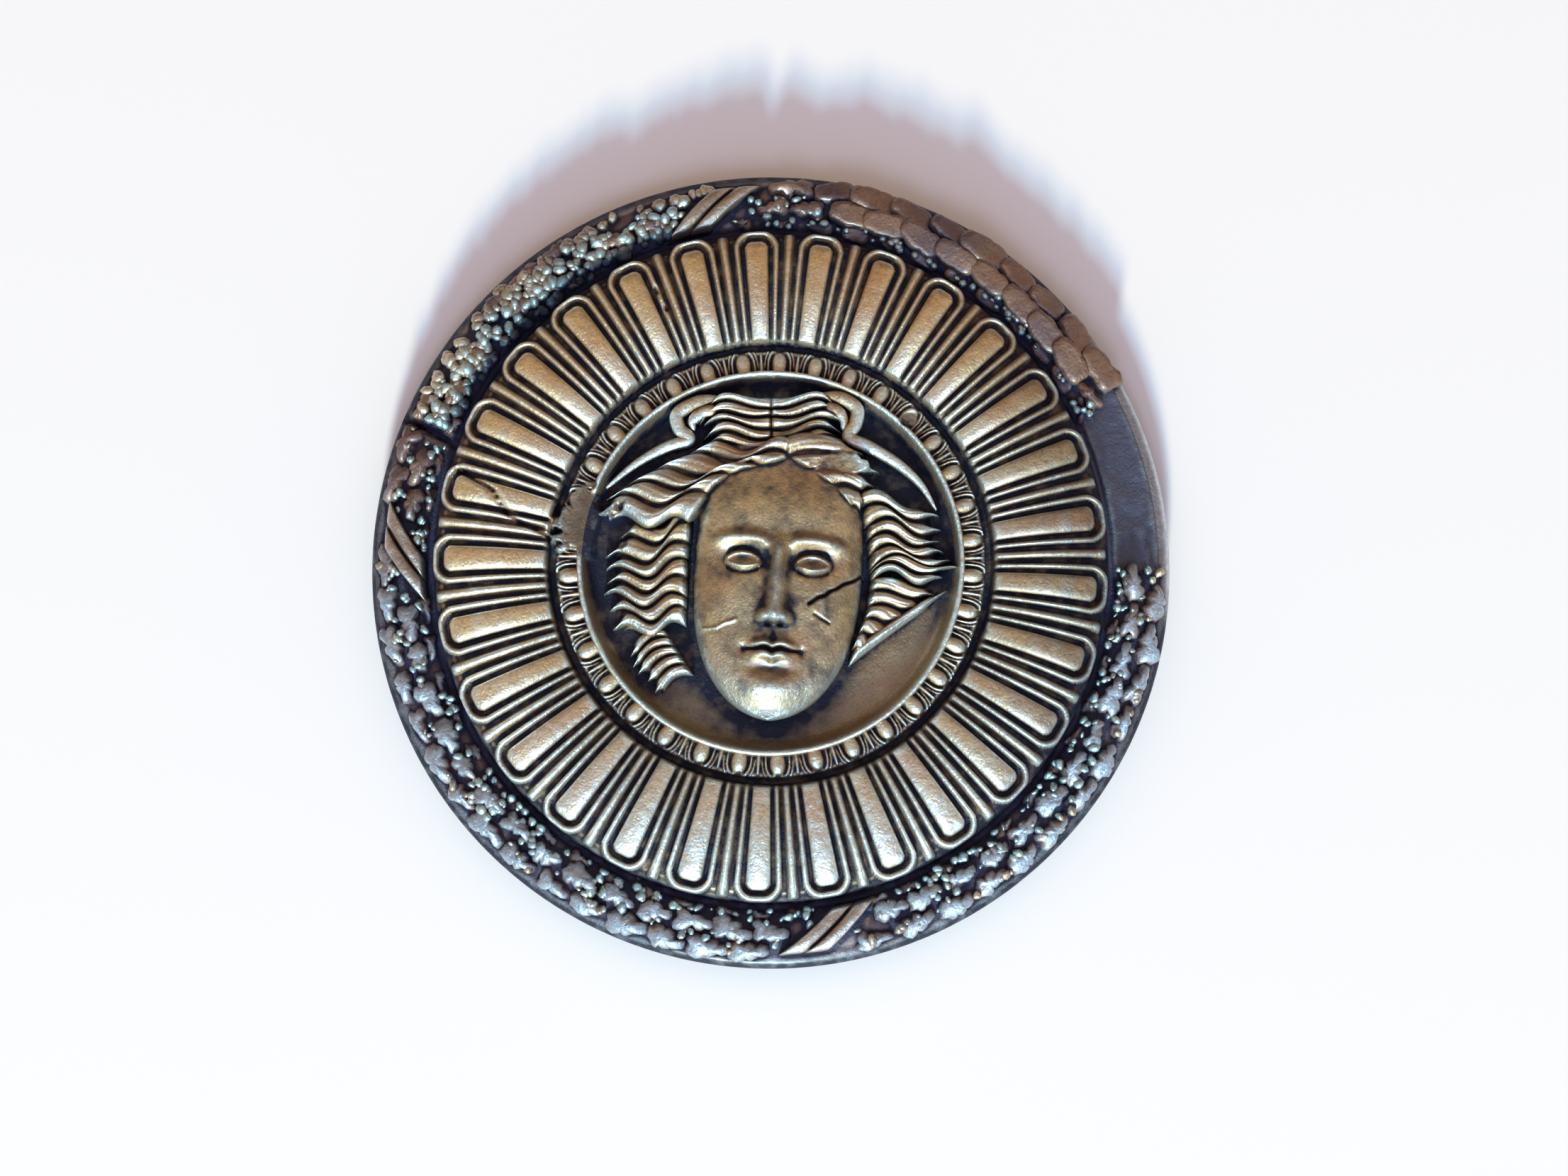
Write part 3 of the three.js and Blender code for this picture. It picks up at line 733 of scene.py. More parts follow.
stretches = {"smooth": (30, 82), "nodular": (98, 157)}  # turns between which the wreath looks different
leaves = {
    "perRow": 58,
    "rows": [  # radius, height, lean outwards, size, share of a pitch that the row is turned by
        {"radius": 38.2, "height": 4.8, "lean": 20, "size": 1.08, "turn": 0.0},
        {"radius": 36.2, "height": 5.5, "lean": -2, "size": 1.0, "turn": 0.5},
        {"radius": 34.9, "height": 4.7, "lean": -24, "size": 0.66, "turn": 0.2},
    ],
    "outlines": [  # from the tip to the base: place along the leaf and half its width there
        [(2.15, 0), (2.05, 0.36), (1.6, 0.5), (1.15, 0.46), (0.8, 0.74), (0.3, 0.86), (-0.1, 0.66),
         (-0.5, 0.98), (-1.1, 1.16), (-1.75, 0.98), (-1.95, 0.5), (-1.6, 0)],
        [(2.0, 0), (1.9, 0.4), (1.45, 0.6), (1.05, 0.5), (0.8, 0.84), (0.25, 1.02), (-0.2, 0.78),
         (-0.45, 1.06), (-1.05, 1.18), (-1.45, 0.84), (-1.9, 0.6), (-1.85, 0)],
        [(2.2, 0), (2.15, 0.5), (1.85, 0.86), (1.3, 0.95), (0.75, 1.16), (0.1, 1.2), (-0.5, 1.08),
         (-0.9, 1.18), (-1.5, 1.1), (-1.95, 0.86), (-2.15, 0.5), (-2.05, 0)],
    ],
    "profiles": [  # share of the outline and of the thickness, from the middle to the foot
        [(0.42, 0.97), (0.76, 0.72), (0.96, 0.2), (1.0, -0.9)],
        [(0.42, 0.97), (0.76, 0.72), (0.96, 0.2), (1.0, -0.9)],
        [(0.6, 1.0), (0.84, 0.98), (0.97, 0.74), (1.0, -0.9)],
    ],
    "lift": 7,
    "thickness": 0.98,
    "strayTurn": 0.4,
    "strayRadius": 0.12,
    "nodularShare": 0.7,  # of the leaves there, this share is left out
    "smoothSize": 1.07,
    "uneven": 0.22,  # how far, and in lumps of what size, every copy is pushed about
    "unevenSmooth": 0.06,
    "unevenSize": 0.8,
    "scatter": {"Spin": 13.0, "Tilt": 8.0, "Least Size": 0.84, "Greatest Size": 1.12},
    "seed": 4,
}
berries = {
    "radius": 0.48,
    "segments": 8,
    "rings": 4,
    "reach": 120,  # degrees from the top down to the flat foot
    "tries": 2600,
    "nodular": {"outward": 0.9, "size": (0.9, 1.55), "height": 0.8, "share": 0.7},
    "other": {"outward": 1.3, "size": (0.5, 1.1), "height": 0.85, "share": 0.2, "innerShare": 0.34},
    "scatter": {"Spin": 180.0, "Tilt": 20.0, "Least Size": 0.85, "Greatest Size": 1.15},
    "seed": 9,
}
ribbons = {
    "turns": (94.4, 173.5, 274.3),
    "slant": 10,
    "halfWidth": 3.8,
    "rise": 1.5,
    "swell": 0.3,
    "groove": 0.5,
}


def inStretch(name, turn):
    start, end = stretches[name]
    return (turn % 360 > start) & (turn % 360 < end)


def domedShape(name, top, rings):  # closed, from a point on top down to the flat foot in the last ring
    count = len(rings[0])
    faces = [[0, 1 + here, 1 + (here + 1) % count] for here in range(count)]
    faces += [face[::-1] for face in gridFaces(len(rings), count, 1, roundColumns=True)]
    faces.append([1 + (len(rings) - 1) * count + here for here in reversed(range(count))])
    return meshObject(name, [[0, 0, top], *np.concatenate(rings).tolist()], faces)


def leafObject(outline, profile):
    half = np.array(outline)
    corners = np.concatenate([half, (half * (1, -1))[-2:0:-1]])
    thickness = leaves["thickness"]
    rings = []
    for share, rise in profile:
        rings.append(np.column_stack([corners * share, [thickness * rise] * len(corners)]))
    return domedShape("leafShape", thickness, rings)


def berryObject():
    turns = np.arange(berries["segments"]) * 360 / berries["segments"]
    rings = []
    for ring in range(1, berries["rings"] + 1):
        fall = math.radians(ring * berries["reach"] / berries["rings"])
        height = turns * 0 + berries["radius"] * math.cos(fall)
        rings.append(ringPoints(berries["radius"] * math.sin(fall), turns, height))
    return domedShape("berryShape", berries["radius"], rings)


def makeScatterTree(shapes):
    inputs = {"Stations": "Geometry", "Spin": "Float", "Tilt": "Float", "Least Size": "Float",
              "Greatest Size": "Float", "Seed": "Int", "Material": "Material"}
    tree, given, result = newTree("wreathScatter", "GeometryNodeTree", inputs, {"Wreath": "Geometry"})
    step = partial(mathStep, tree)
    pool = tree.nodes.new("GeometryNodeJoinGeometry")
    for shape in reversed(shapes):
        info = addNode(tree, "GeometryNodeObjectInfo", Object=shape, As_Instance=True)
        tree.links.new(info.outputs["Geometry"], pool.inputs[0])

    def stored(name, kind):
        return addNode(tree, "GeometryNodeInputNamedAttribute", {"data_type": kind}, Name=name).outputs[0]

    def chance(low, high, offset):
        node = addNode(tree, "FunctionNodeRandomValue", {"data_type": "FLOAT"})
        sockets = [socket for socket in node.inputs if socket.enabled and socket.name in ("Min", "Max")]
        for socket, value in zip(sockets, (low, high)):
            tree.links.new(value, socket)
        tree.links.new(step("ADD", given["Seed"], float(offset)), node.inputs["Seed"])
        return next(socket for socket in node.outputs if socket.enabled)

    def stray(name, offset):  # up to so many degrees either way
        least = step("MULTIPLY", given[name], -1.0)
        return step("RADIANS", chance(least, given[name], offset))

    strayed = addNode(tree, "ShaderNodeCombineXYZ",
                      X=stray("Tilt", 1), Y=stray("Tilt", 2), Z=stray("Spin", 0))
    heading = addNode(tree, "FunctionNodeEulerToRotation", Euler=stored("heading", "FLOAT_VECTOR"))
    strayTurn = addNode(tree, "FunctionNodeEulerToRotation", Euler=strayed.outputs[0])
    turned = addNode(tree, "FunctionNodeRotateRotation", {"rotation_space": "LOCAL"},
                     Rotation=heading.outputs[0], Rotate_By=strayTurn.outputs[0])
    size = step("MULTIPLY", stored("size", "FLOAT"), chance(given["Least Size"], given["Greatest Size"], 3))
    scale = addNode(tree, "ShaderNodeCombineXYZ", X=size, Y=size, Z=size)
    copies = addNode(tree, "GeometryNodeInstanceOnPoints", Points=given["Stations"],
                     Instance=pool.outputs[0], Pick_Instance=True, Instance_Index=stored("shape", "INT"),
                     Rotation=turned.outputs[0], Scale=scale.outputs[0])
    return endTree(tree, copies.outputs[0], given, result)


def underRibbon(radius, turn, margin):
    slant = ribbons["slant"] * wreathDepth(radius)
    gaps = [abs(turnBetween(turn, start + slant)) for start in ribbons["turns"]]
    return min(gaps) < ribbons["halfWidth"] + margin


def stationObject(stations):  # points that carry the heading, size and shape of what grows on them
    piece = meshObject("stations", [station["place"] for station in stations], [])
    kinds = (("heading", "FLOAT_VECTOR", "vector"), ("size", "FLOAT", "value"), ("shape", "INT", "value"))
    for label, kind, field in kinds:
        attribute = piece.data.attributes.new(label, kind, "POINT")
        values = np.array([station[label] for station in stations]).ravel()
        attribute.data.foreach_set(field, values)
    return piece


def leafStations():
    chance = np.random.default_rng(leaves["seed"])
    pitch = 360 / leaves["perRow"]
    strayTurn, strayRadius = leaves["strayTurn"], leaves["strayRadius"]
    stations = []
    for number, row in enumerate(leaves["rows"]):
        for copy in range(leaves["perRow"]):
            turn = (copy + row["turn"]) * pitch + chance.uniform(-strayTurn, strayTurn)
            radius = row["radius"] + chance.uniform(-strayRadius, strayRadius)
            pick = chance.uniform()
            isCracked = abs(turnBetween(turn, damage["wreathCrack"])) < 1.3
            if lostShare(radius, turn) > 0.3 or underRibbon(radius, turn, 0.6) or isCracked:
                continue
            if inStretch("nodular", turn) and pick < leaves["nodularShare"]:
                continue
            isSmooth = inStretch("smooth", turn)
            stations.append({
                "place": ringPoints(radius, turn, row["height"]),
                "heading": np.radians([row["lean"], -leaves["lift"], turn + 90]),
                "size": row["size"] * (leaves["smoothSize"] if isSmooth and number < 2 else 1),
                "shape": 2 if isSmooth else int(pick * 2),
            })
    return stations


def berryStations():
    chance = np.random.default_rng(berries["seed"])
    stations = []
    for _ in range(berries["tries"]):
        turn = chance.uniform(0, 360)
        kind = berries["nodular" if inStretch("nodular", turn) else "other"]
        radius = blend(tongueOuter + 0.75, wreathRadius - 0.1, chance.uniform() ** kind["outward"])
        size = chance.uniform(*kind["size"])
        isInner = radius < tongueOuter + 1.5
        share = kind.get("innerShare", kind["share"]) if isInner else kind["share"]
        isWanted = chance.uniform() < share
        isOnCobbles = inStretch("smooth", turn) and radius > 35.6
        if not isWanted or isOnCobbles or lostShare(radius, turn) > 0.3 or underRibbon(radius, turn, 0.3):
            continue
        height = float(wreathBed(np.array(radius))) + kind["height"]
        place = ringPoints(radius, turn, height)
        stations.append({"place": place, "heading": (0, 0, 0), "size": size, "shape": 0})
    return stations


def smoothTops(turn):  # 1 where the leaves are worn down to flat, close cobbles
    start, end = stretches["smooth"]
    return smoothStep(start - 2, start + 2, turn) * smoothStep(end + 2, end - 2, turn)


def roughen(piece, seed):  # pushes every copy about a little, so that no two are alike
    points = meshPoints(piece)
    shifts = [softNoise(*points[:, :2].T, leaves["unevenSize"], seed + axis) for axis in range(3)]
    amount = blend(leaves["uneven"], leaves["unevenSmooth"], smoothTops(polar(points)[1]))
    movePoints(piece, points + amount[:, None] * np.stack(shifts, -1))
    return piece


def scatterPiece(name, settings, stations, shapes, material, unevenSeed):
    values = {**settings["scatter"], "Seed": settings["seed"], "Material": material}
    piece = growNodes(stationObject(stations), name, makeScatterTree(shapes), values)
    for shape in shapes:
        bpy.data.objects.remove(shape)
    return roughen(piece, unevenSeed)


def wreathLeaves():
    shapes = [leafObject(*drawn) for drawn in zip(leaves["outlines"], leaves["profiles"])]
    return scatterPiece("wreathLeaves", leaves, leafStations(), shapes, wreathBronze, 41)


def wreathBerries():
    return scatterPiece("wreathBerries", berries, berryStations(), [berryObject()], noduleBronze, 44)


def wreathRibbons():
    bodies = []
    depth, across = np.meshgrid(np.linspace(-0.02, 1.02, 34), np.linspace(-1, 1, 41), indexing="ij")
    radius = wreathRadius - (bands["wreath"] - bands["groove"]) * depth
    inBand = 2 * np.abs(np.abs(across) - 0.5)
    band = ribbons["swell"] * (1 - inBand ** 2) - ribbons["groove"] * smoothStep(0.72, 1, inBand)
    ends = smoothStep(-0.02, 0.12, depth) * smoothStep(1.02, 0.88, depth)
    sides = np.sqrt(np.clip((1 - np.abs(across)) / 0.1, 0, 1))
    height = wreathBed(radius) + (ribbons["rise"] + band) * ends * sides - 0.3 * (1 - ends * sides)
    for start in ribbons["turns"]:
        rows = ringPoints(radius, start + ribbons["slant"] * depth + across * ribbons["halfWidth"], height)
        rows[..., 2] += 0.05 * softNoise(rows[..., 0], rows[..., 1], 1.1, 8)
        bodies.append(patchBody(rows, 2.5))
    return meshObject("wreathRibbons", *joinBodies(bodies), ribbonBronze)


# Ridges: a round or flattened section swept along each path, as thick as the path's own radius says.


def makeSweepTree():
    inputs = {"Paths": "Geometry", "Sides": "Int", "Flatness": "Float", "Material": "Material"}
    tree, given, result = newTree("ridgeSweep", "GeometryNodeTree", inputs, {"Ridges": "Geometry"})
    section = addNode(tree, "GeometryNodeCurvePrimitiveCircle", Resolution=given["Sides"], Radius=1.0)
    flat = addNode(tree, "ShaderNodeCombineXYZ", X=1.0, Y=given["Flatness"], Z=1.0)
    pressed = addNode(tree, "GeometryNodeTransform", Geometry=section.outputs[0], Scale=flat.outputs[0])
    upright = addNode(tree, "GeometryNodeSetCurveNormal", {"mode": "Z_UP"}, Curve=given["Paths"])
    radius = addNode(tree, "GeometryNodeInputRadius").outputs[0]
    swept = addNode(tree, "GeometryNodeCurveToMesh", Curve=upright.outputs[0],
                    Profile_Curve=pressed.outputs[0], Scale=radius, Fill_Caps=True)
    return endTree(tree, swept.outputs[0], given, result)


sweepTree = makeSweepTree()


def sweepPaths(name, paths, flatness, sides, material):  # each path is points and radii
    curve = bpy.data.curves.new(name, "CURVE")
    curve.dimensions = "3D"
    for points, radii in paths:
        spline = curve.splines.new("POLY")
        spline.points.add(len(points) - 1)
        coordinates = np.concatenate([np.asarray(points) * mm, np.ones((len(points), 1))], 1)
        spline.points.foreach_set("co", coordinates.ravel())
        spline.points.foreach_set("radius", np.asarray(radii) * mm)
    values = {"Flatness": flatness, "Sides": sides, "Material": material}
    return growNodes(linkObject(name + "Paths", curve), name, sweepTree, values)


# The mask. Across and up are shares of the face's length, from its middle line and its chin.

mask = {
    "tilt": 4,
    "length": dishRadius * 1.344,
    "middle": (dishRadius * 0.032, dishRadius * -0.134),
    "edgeRise": 1.3,
    "depth": 3.24,
    "rows": 250,
    "columns": 170,
    "widest": 0.62,
    "cheek": 0.335,
    "eye": (0.137, 0.583),
    "eyeHalfWidth": 0.064,
    "mouth": 0.24,
    "forms": [  # strength, then place and width across and upwards, alike on both sides
        (-0.048, 0.125, 0.085, 0.598, 0.042),  # hollows of the eyes
        (0.016, 0, 0.034, 0.378, 0.026),  # tip of the nose
        (0.034, 0.046, 0.019, 0.368, 0.022),  # its sides
        (-0.030, 0.024, 0.011, 0.345, 0.009),  # nostrils
        (-0.010, 0, 0.011, 0.298, 0.022),  # groove below the nose
        (-0.014, 0.115, 0.016, 0.238, 0.018),  # corners of the mouth
        (-0.016, 0, 0.085, 0.165, 0.02),  # dip below the lips
        (0.028, 0, 0.08, 0.085, 0.05),  # chin
        (0.012, 0.19, 0.08, 0.43, 0.09),  # cheeks
        (-0.006, 0.085, 0.02, 0.335, 0.045),  # beside the nose
    ],
}


def faceHalfWidth(up):
    chinShare = np.clip((mask["widest"] - up) / (mask["widest"] + 0.03), 0, 1)
    browShare = np.clip((up - mask["widest"]) / 0.75, 0, 1)
    return mask["cheek"] * (1 - chinShare ** 2.8) ** 0.55 * (1 - browShare ** 2) ** 0.5


def faceRelief(across, up):
    side = np.abs(across)
    edge = np.minimum(1, side / np.maximum(faceHalfWidth(up), 0.02))
    roundness = (1 - edge ** 2.6) ** 0.5
    crown = 1 - 0.5 * smoothStep(0.76, 1.05, up) - 0.35 * smoothStep(0.12, -0.02, up)
    browLine = 0.655 + 0.022 * np.sin(math.pi * np.minimum(1, side / 0.27))
    noseShare = np.clip((0.66 - up) / 0.29, 0, 1)
    noseFade = smoothStep(0.338, 0.36, up) * smoothStep(0.72, 0.62, up)
    noseWidth = blend(0.03, 0.046, noseShare ** 1.5)
    (eyeSide, eyeUp), eyeHalf = mask["eye"], mask["eyeHalfWidth"]
    lidArc = 1 - np.clip((side - eyeSide) / eyeHalf, -1, 1) ** 2
    upperLid = eyeUp + 0.026 * lidArc ** 0.8
    lowerLid = eyeUp - 0.015 * lidArc ** 0.9
    inEye = smoothStep(0, 0.05, lidArc) * (np.abs(side - eyeSide) < eyeHalf)
    ball = arc(np.hypot((side - eyeSide) / 0.075, (up - eyeUp - 0.003) / 0.045))
    mouthLine = mask["mouth"] + 0.006 * bump(side - 0.035, 0.025) - 0.004 * bump(side, 0.012)
    carving = 0.040 * ball
    browReach = smoothStep(0.02, 0.07, side) * smoothStep(0.32, 0.2, side)
    carving += 0.024 * bump(up - browLine, 0.024) * browReach
    carving += 0.012 * bump(up - upperLid - 0.006, 0.0075) * inEye
    carving -= 0.008 * bump(up - upperLid - 0.024, 0.009) * inEye
    carving += 0.008 * bump(up - lowerLid + 0.006, 0.007) * inEye
    carving -= 0.010 * bump(up - lowerLid + 0.022, 0.012) * inEye
    carving += blend(0.034, 0.082, noseShare) * bump(across, noseWidth) * noseFade
    carving += 0.030 * bump(up - mouthLine - 0.02, 0.014) * smoothStep(0.11, 0.04, side)
    carving += 0.034 * bump(up - mouthLine + 0.024, 0.017) * smoothStep(0.095, 0.03, side)
    carving -= 0.022 * bump(up - mouthLine, 0.0065) * smoothStep(0.12, 0.095, side)
    for strength, sidePlace, sideWidth, upPlace, upWidth in mask["forms"]:
        carving += strength * bump(side - sidePlace, sideWidth) * bump(up - upPlace, upWidth)
    rise = mask["depth"] * roundness * crown + carving * np.sqrt(roundness) * mask["length"]
    return mask["edgeRise"] + rise


def faceToDish(across, up):
    x, y = across * mask["length"], (up - 0.5) * mask["length"]
    cos, sin = math.cos(math.radians(-mask["tilt"])), math.sin(math.radians(-mask["tilt"]))
    return mask["middle"][0] + x * cos - y * sin, mask["middle"][1] + x * sin + y * cos


def maskFace():
    up = np.linspace(-0.0295, 1.05, mask["rows"])[:, None]
    share = np.linspace(-1, 1, mask["columns"])[None, :]
    share = np.sign(share) * (1 - (1 - np.abs(share)) ** 1.3)
    across = share * faceHalfWidth(up)
    x, y = faceToDish(across, up + across * 0)
    rows = np.stack([x, y, levels["dish"] + faceRelief(across, up + across * 0)], -1)
    points, faces = patchBody(rows, levels["edge"])
    return meshObject("maskFace", points, faces, reliefBronze)


# The hair: locks of waving strands, each a closed patch of relief. Shares of the dish's radius give the
# line that the strands start on and the line that they end on, and shares of the rise give both heights.

hairLocks = [
    {"strands": 7, "start": [(-0.40, 0.32), (-0.435, 0.08), (-0.44, -0.15), (-0.45, -0.33)],  # left side
     "end": [(-0.83, 0.2), (-0.93, -0.02), (-0.93, -0.17), (-0.85, -0.38)],
     "waves": 1.75, "phase": 0.45, "swing": 0.032, "bend": (0.05, 0.02), "rise": (0.8, 0.56), "lip": 0.09,
     "foot": 1.1},
    {"strands": 5, "start": [(0.13, 0.64), (0.10, 0.535), (-0.12, 0.49), (-0.29, 0.38), (-0.43, 0.21)],
     "end": [(-0.47, 0.6), (-0.66, 0.53), (-0.86, 0.41), (-0.99, 0.35), (-0.93, 0.25)],  # left brow
     "waves": 1.8, "phase": 0.5, "swing": 0.034, "bend": (-0.012, 0.018), "rise": (1.16, 0.62), "lip": 0.05},
    {"strands": 5, "start": [(0.006, 0.88), (0.006, 0.60)],  # left of the crown
     "end": [(-0.385, 0.79), (-0.40, 0.7), (-0.36, 0.585)],
     "waves": 1.05, "phase": 0.5, "swing": -0.026, "bend": (-0.075, -0.03), "rise": (0.95, 0.7), "lip": 0.06,
     "foot": 2.1},
    {"strands": 5, "start": [(0.0, 0.88), (0.0, 0.60)],  # right of the crown
     "end": [(0.39, 0.815), (0.41, 0.74), (0.38, 0.645)],
     "waves": 1.05, "phase": 0.5, "swing": 0.026, "bend": (0.065, 0.012), "rise": (0.95, 0.7), "lip": 0.06,
     "foot": 2.1},
    {"strands": 4, "start": [(0.06, 0.65), (0.07, 0.54), (0.2, 0.47), (0.33, 0.38), (0.43, 0.27)],
     "end": [(0.5, 0.62), (0.6, 0.5), (0.56, 0.4), (0.5, 0.27)],  # right brow
     "waves": 0.8, "phase": 0.1, "swing": 0.014, "bend": (0.05, 0.01), "rise": (1.08, 0.84), "lip": 0.08},
    {"strands": 7, "start": [(0.43, 0.36), (0.5, 0.16), (0.52, -0.02), (0.53, -0.1)],  # right side
     "end": [(0.93, 0.22), (0.95, 0.1), (0.94, 0.0), (1.05, -0.06), (0.92, -0.17)],
     "waves": 1.35, "phase": 0.95, "swing": 0.032, "bend": (0.05, 0.055), "rise": (0.8, 0.7), "lip": 0.12},
    {"strands": 5, "start": [(0.53, -0.09), (0.5, -0.28), (0.43, -0.47)],  # beside the right cheek
     "end": [(0.93, -0.16), (0.76, -0.3), (0.47, -0.5)],
     "waves": 1.1, "phase": 0.0, "swing": 0.012, "bend": (0.02, 0.01), "rise": (0.76, 0.5), "lip": 0.12},
    {"strands": 1, "start": [(0.44, -0.45), (0.41, -0.56)],  # its lower edge
     "end": [(1.0, -0.085), (0.97, -0.15)],
     "waves": 0.5, "phase": 0.0, "swing": 0.006, "bend": (0.0, 0.0), "rise": (0.62, 0.6), "lip": 0.08},
    {"strands": 5, "start": [(-0.56, -0.36), (-0.49, -0.47), (-0.41, -0.6)],  # below the left jaw
     "end": [(-0.77, -0.5), (-0.73, -0.62), (-0.6, -0.72)],
     "waves": 0.9, "phase": 0.5, "swing": 0.01, "bend": (-0.045, -0.03), "rise": (0.62, 0.5), "lip": 0.12},
]
hair = {
    "columns": 16,  # across one strand
    "rows": 88,
    "rise": 3.4,
    "groove": 1.05,
    "fine": 0.1,
    "foot": 0.3,  # height at the start of a strand, where its lock gives none
    "seed": 12,
}


def onLine(line, share):
    corners = np.array(line)
    steps = np.linspace(0, 1, len(corners))
    return np.interp(share, steps, corners[:, 0]), np.interp(share, steps, corners[:, 1])


def lockRelief(lock, strand, along, wave, chance):  # heights above the dish; strand counts from 0
    count = lock["strands"]
    number = np.minimum(strand.astype(int), count - 1)
    across = 2 * (strand - number) - 1
    past = along / chance.uniform(0.9, 1.0, count)[number]
    width = blend(1, 0.12, smoothStep(0.66, 1.0, past))
    side = np.clip(np.abs(across) / width, 0, 1)
    rise = hair["rise"] * blend(*lock["rise"], along)
    top = rise + 0.09 * wave + chance.uniform(-0.14, 0.14, count)[number]
    top = top * (1 - 0.3 * smoothStep(0.7, 1.0, past))
    floor = blend(rise - hair["groove"], -0.7, smoothStep(0.74, 0.97, past))
    split = 0.3 * np.sin(chance.uniform(0, 6, count)[number] + 4 * along)
    fine = hair["fine"] * bump(across - split, 0.15) + hair["fine"] * 0.5 * bump(across + 0.5 - split, 0.1)
    ridge = (1 - side ** 2) ** 0.7 * smoothStep(1.03, 0.95, past)
    height = floor + (top - floor - fine * (side < 0.9)) * ridge
    lip = np.clip(along / lock["lip"], 0, 1)
    return blend(lock.get("foot", hair["foot"]), height, arc(1 - lip))


def hairPatches():
    chance = np.random.default_rng(hair["seed"])
    bodies = []
    for lock in hairLocks:
        count = lock["strands"]
        columns = np.linspace(0, count, count * hair["columns"] + 1)
        strand, along = np.meshgrid(columns, np.linspace(0, 1, hair["rows"]), indexing="ij")
        share = strand / count
        startX, startY = onLine(lock["start"], share)
        endX, endY = onLine(lock["end"], share)
        runX, runY = endX - startX, endY - startY
        phase = lock["phase"] + 0.05 * np.sin(strand * 2.3)
        wave = np.sin(2 * math.pi * (lock["waves"] * along + phase))
        bend = blend(*lock["bend"], share) * 4 * along * (1 - along)
        shift = (bend + lock["swing"] * wave) / np.hypot(runX, runY)
        x, y = startX + runX * along - runY * shift, startY + runY * along + runX * shift
        height = levels["dish"] + lockRelief(lock, strand, along, wave, chance)
        points, faces = patchBody(np.stack([x * dishRadius, y * dishRadius, height], -1), levels["edge"])
        if runX[0, 0] * (startY[-1, 0] - startY[0, 0]) < runY[0, 0] * (startX[-1, 0] - startX[0, 0]):
            faces = [face[::-1] for face in faces]
        bodies.append((points, faces))
    return meshObject("hairPatches", *joinBodies(bodies), reliefBronze)


wings = {
    "lines": [  # shares of the dish's radius, with the half width of each ridge
        (0.72, [(-0.27, 0.89), (-0.40, 0.86), (-0.50, 0.80), (-0.49, 0.72), (-0.44, 0.66), (-0.56, 0.62),
                (-0.72, 0.53), (-0.88, 0.40)]),
        (0.6, [(-0.28, 0.82), (-0.36, 0.81), (-0.42, 0.76), (-0.41, 0.71)]),
        (0.72, [(0.26, 0.905), (0.38, 0.885), (0.46, 0.83), (0.455, 0.75), (0.42, 0.67), (0.53, 0.62),
                (0.68, 0.53), (0.80, 0.42), (0.885, 0.28)]),
        (0.6, [(0.28, 0.84), (0.35, 0.82), (0.39, 0.77), (0.385, 0.71)]),
    ],
    "rise": 2.4,
    "layers": (0, 0.55, 1.1),  # stacked, so that the ridge stands on the dish
    "flatness": 0.85,
    "sides": 12,
}


def smoothPath(corners, steps):  # a smooth curve through the corners
    points = np.array(corners, float)
    ends = np.concatenate([[2 * points[0] - points[1]], points, [2 * points[-1] - points[-2]]])
    share = np.linspace(0, 1, steps, endpoint=False)[:, None]
    path = []
    for before, start, end, after in zip(ends, ends[1:], ends[2:], ends[3:]):
        pull = 2 * before - 5 * start + 4 * end - after
        twist = -before + 3 * start - 3 * end + after
        path.append(0.5 * (2 * start + (end - before) * share + pull * share ** 2 + twist * share ** 3))
    return np.concatenate([*path, points[-1:]])


def wingRidges():
    paths = []
    for halfWidth, line in wings["lines"]:
        place = smoothPath(np.array(line) * dishRadius, 12)
        along = np.linspace(0, 1, len(place))
        taper = np.sqrt(np.clip(np.minimum(along / 0.12, (1 - along) / 0.5), 0.004, 1))
        for sink in wings["layers"]:
            height = levels["dish"] + wings["rise"] - halfWidth - sink + 0 * along
            paths.append((np.column_stack([place, height]), halfWidth * taper))
    return sweepPaths("wingRidges", paths, wings["flatness"], wings["sides"], reliefBronze)


pieces = {
    "medallionBody": medallionBody(),
    "tongueRing": tongueRing(),
    "eggRing": eggRing(),
    "wreathLeaves": wreathLeaves(),
    "wreathBerries": wreathBerries(),
    "wreathRibbons": wreathRibbons(),
    "maskFace": maskFace(),
    "hairPatches": hairPatches(),
    "wingRidges": wingRidges(),
}
print("pieces built:", {name: len(piece.data.polygons) for name, piece in pieces.items()})


# Wear on what stands out, also painting highlights, and soil with painted shade in what lies deep, measured
# on the height of the whole relief. Some painted light and shade follow where the lamps stand.

relief = {
    "cell": 0.1,
    "margin": 3,
    "wearBlur": 0.4,
    "wearReach": 0.42,
    "grooveReach": 0.2,
    "dishGroove": 3,  # the dish's grooves are so much wider
    "soilShadeBlur": 1.0,
    "soilShadeReach": 1.5,
    "broadBlur": 2.3,
    "broadSoilShade": 1.9,
    "broadWear": 1.9,
    "breakSoil": (0.3, 0.12),  # all over, and in clouds
    # darker towards the right of the tongue ring
    "rightDarkening": 0.55,
    "endSoilShade": 0.9,
    "rimSoil": 1.0,
    "eggSoilShade": 1.8,
    # painted shade in the cove, darker towards the top
    "coveShade": 0.6,
    "innerWear": 1.25,
    # painted light: the lower tongues paler, towards the lamps
    "lowPaintedLight": 0.45,
    "rootPaintedLight": 0.3,  # painted highlight on the upper tongues, near the eggs, where they face the lamps
    "faceSoil": 0.34,
    "faceWear": 0.6,
    "lightUpDown": (0.4, 1.1),  # painted light, paler towards the lamps below: at the top and at the bottom of the medallion
    # painted light on the leaves, paler towards the lamps at the bottom
    "leafUpDown": (-0.3, 1.0),
    "berryPale": (38.4, 37.2),  # bare pale berries outside, blue worn ones in the middle
    "berryDark": (36.4, 34.4),  # and dirty ones inside
    "berrySoil": 1.0,
    # painted light on the berries, a little paler towards the bottom
    "berryUpDown": (0.9, 1.1),
}


def toCells(points):
    return (points[:, :2] + outerRadius + relief["margin"]) / relief["cell"]


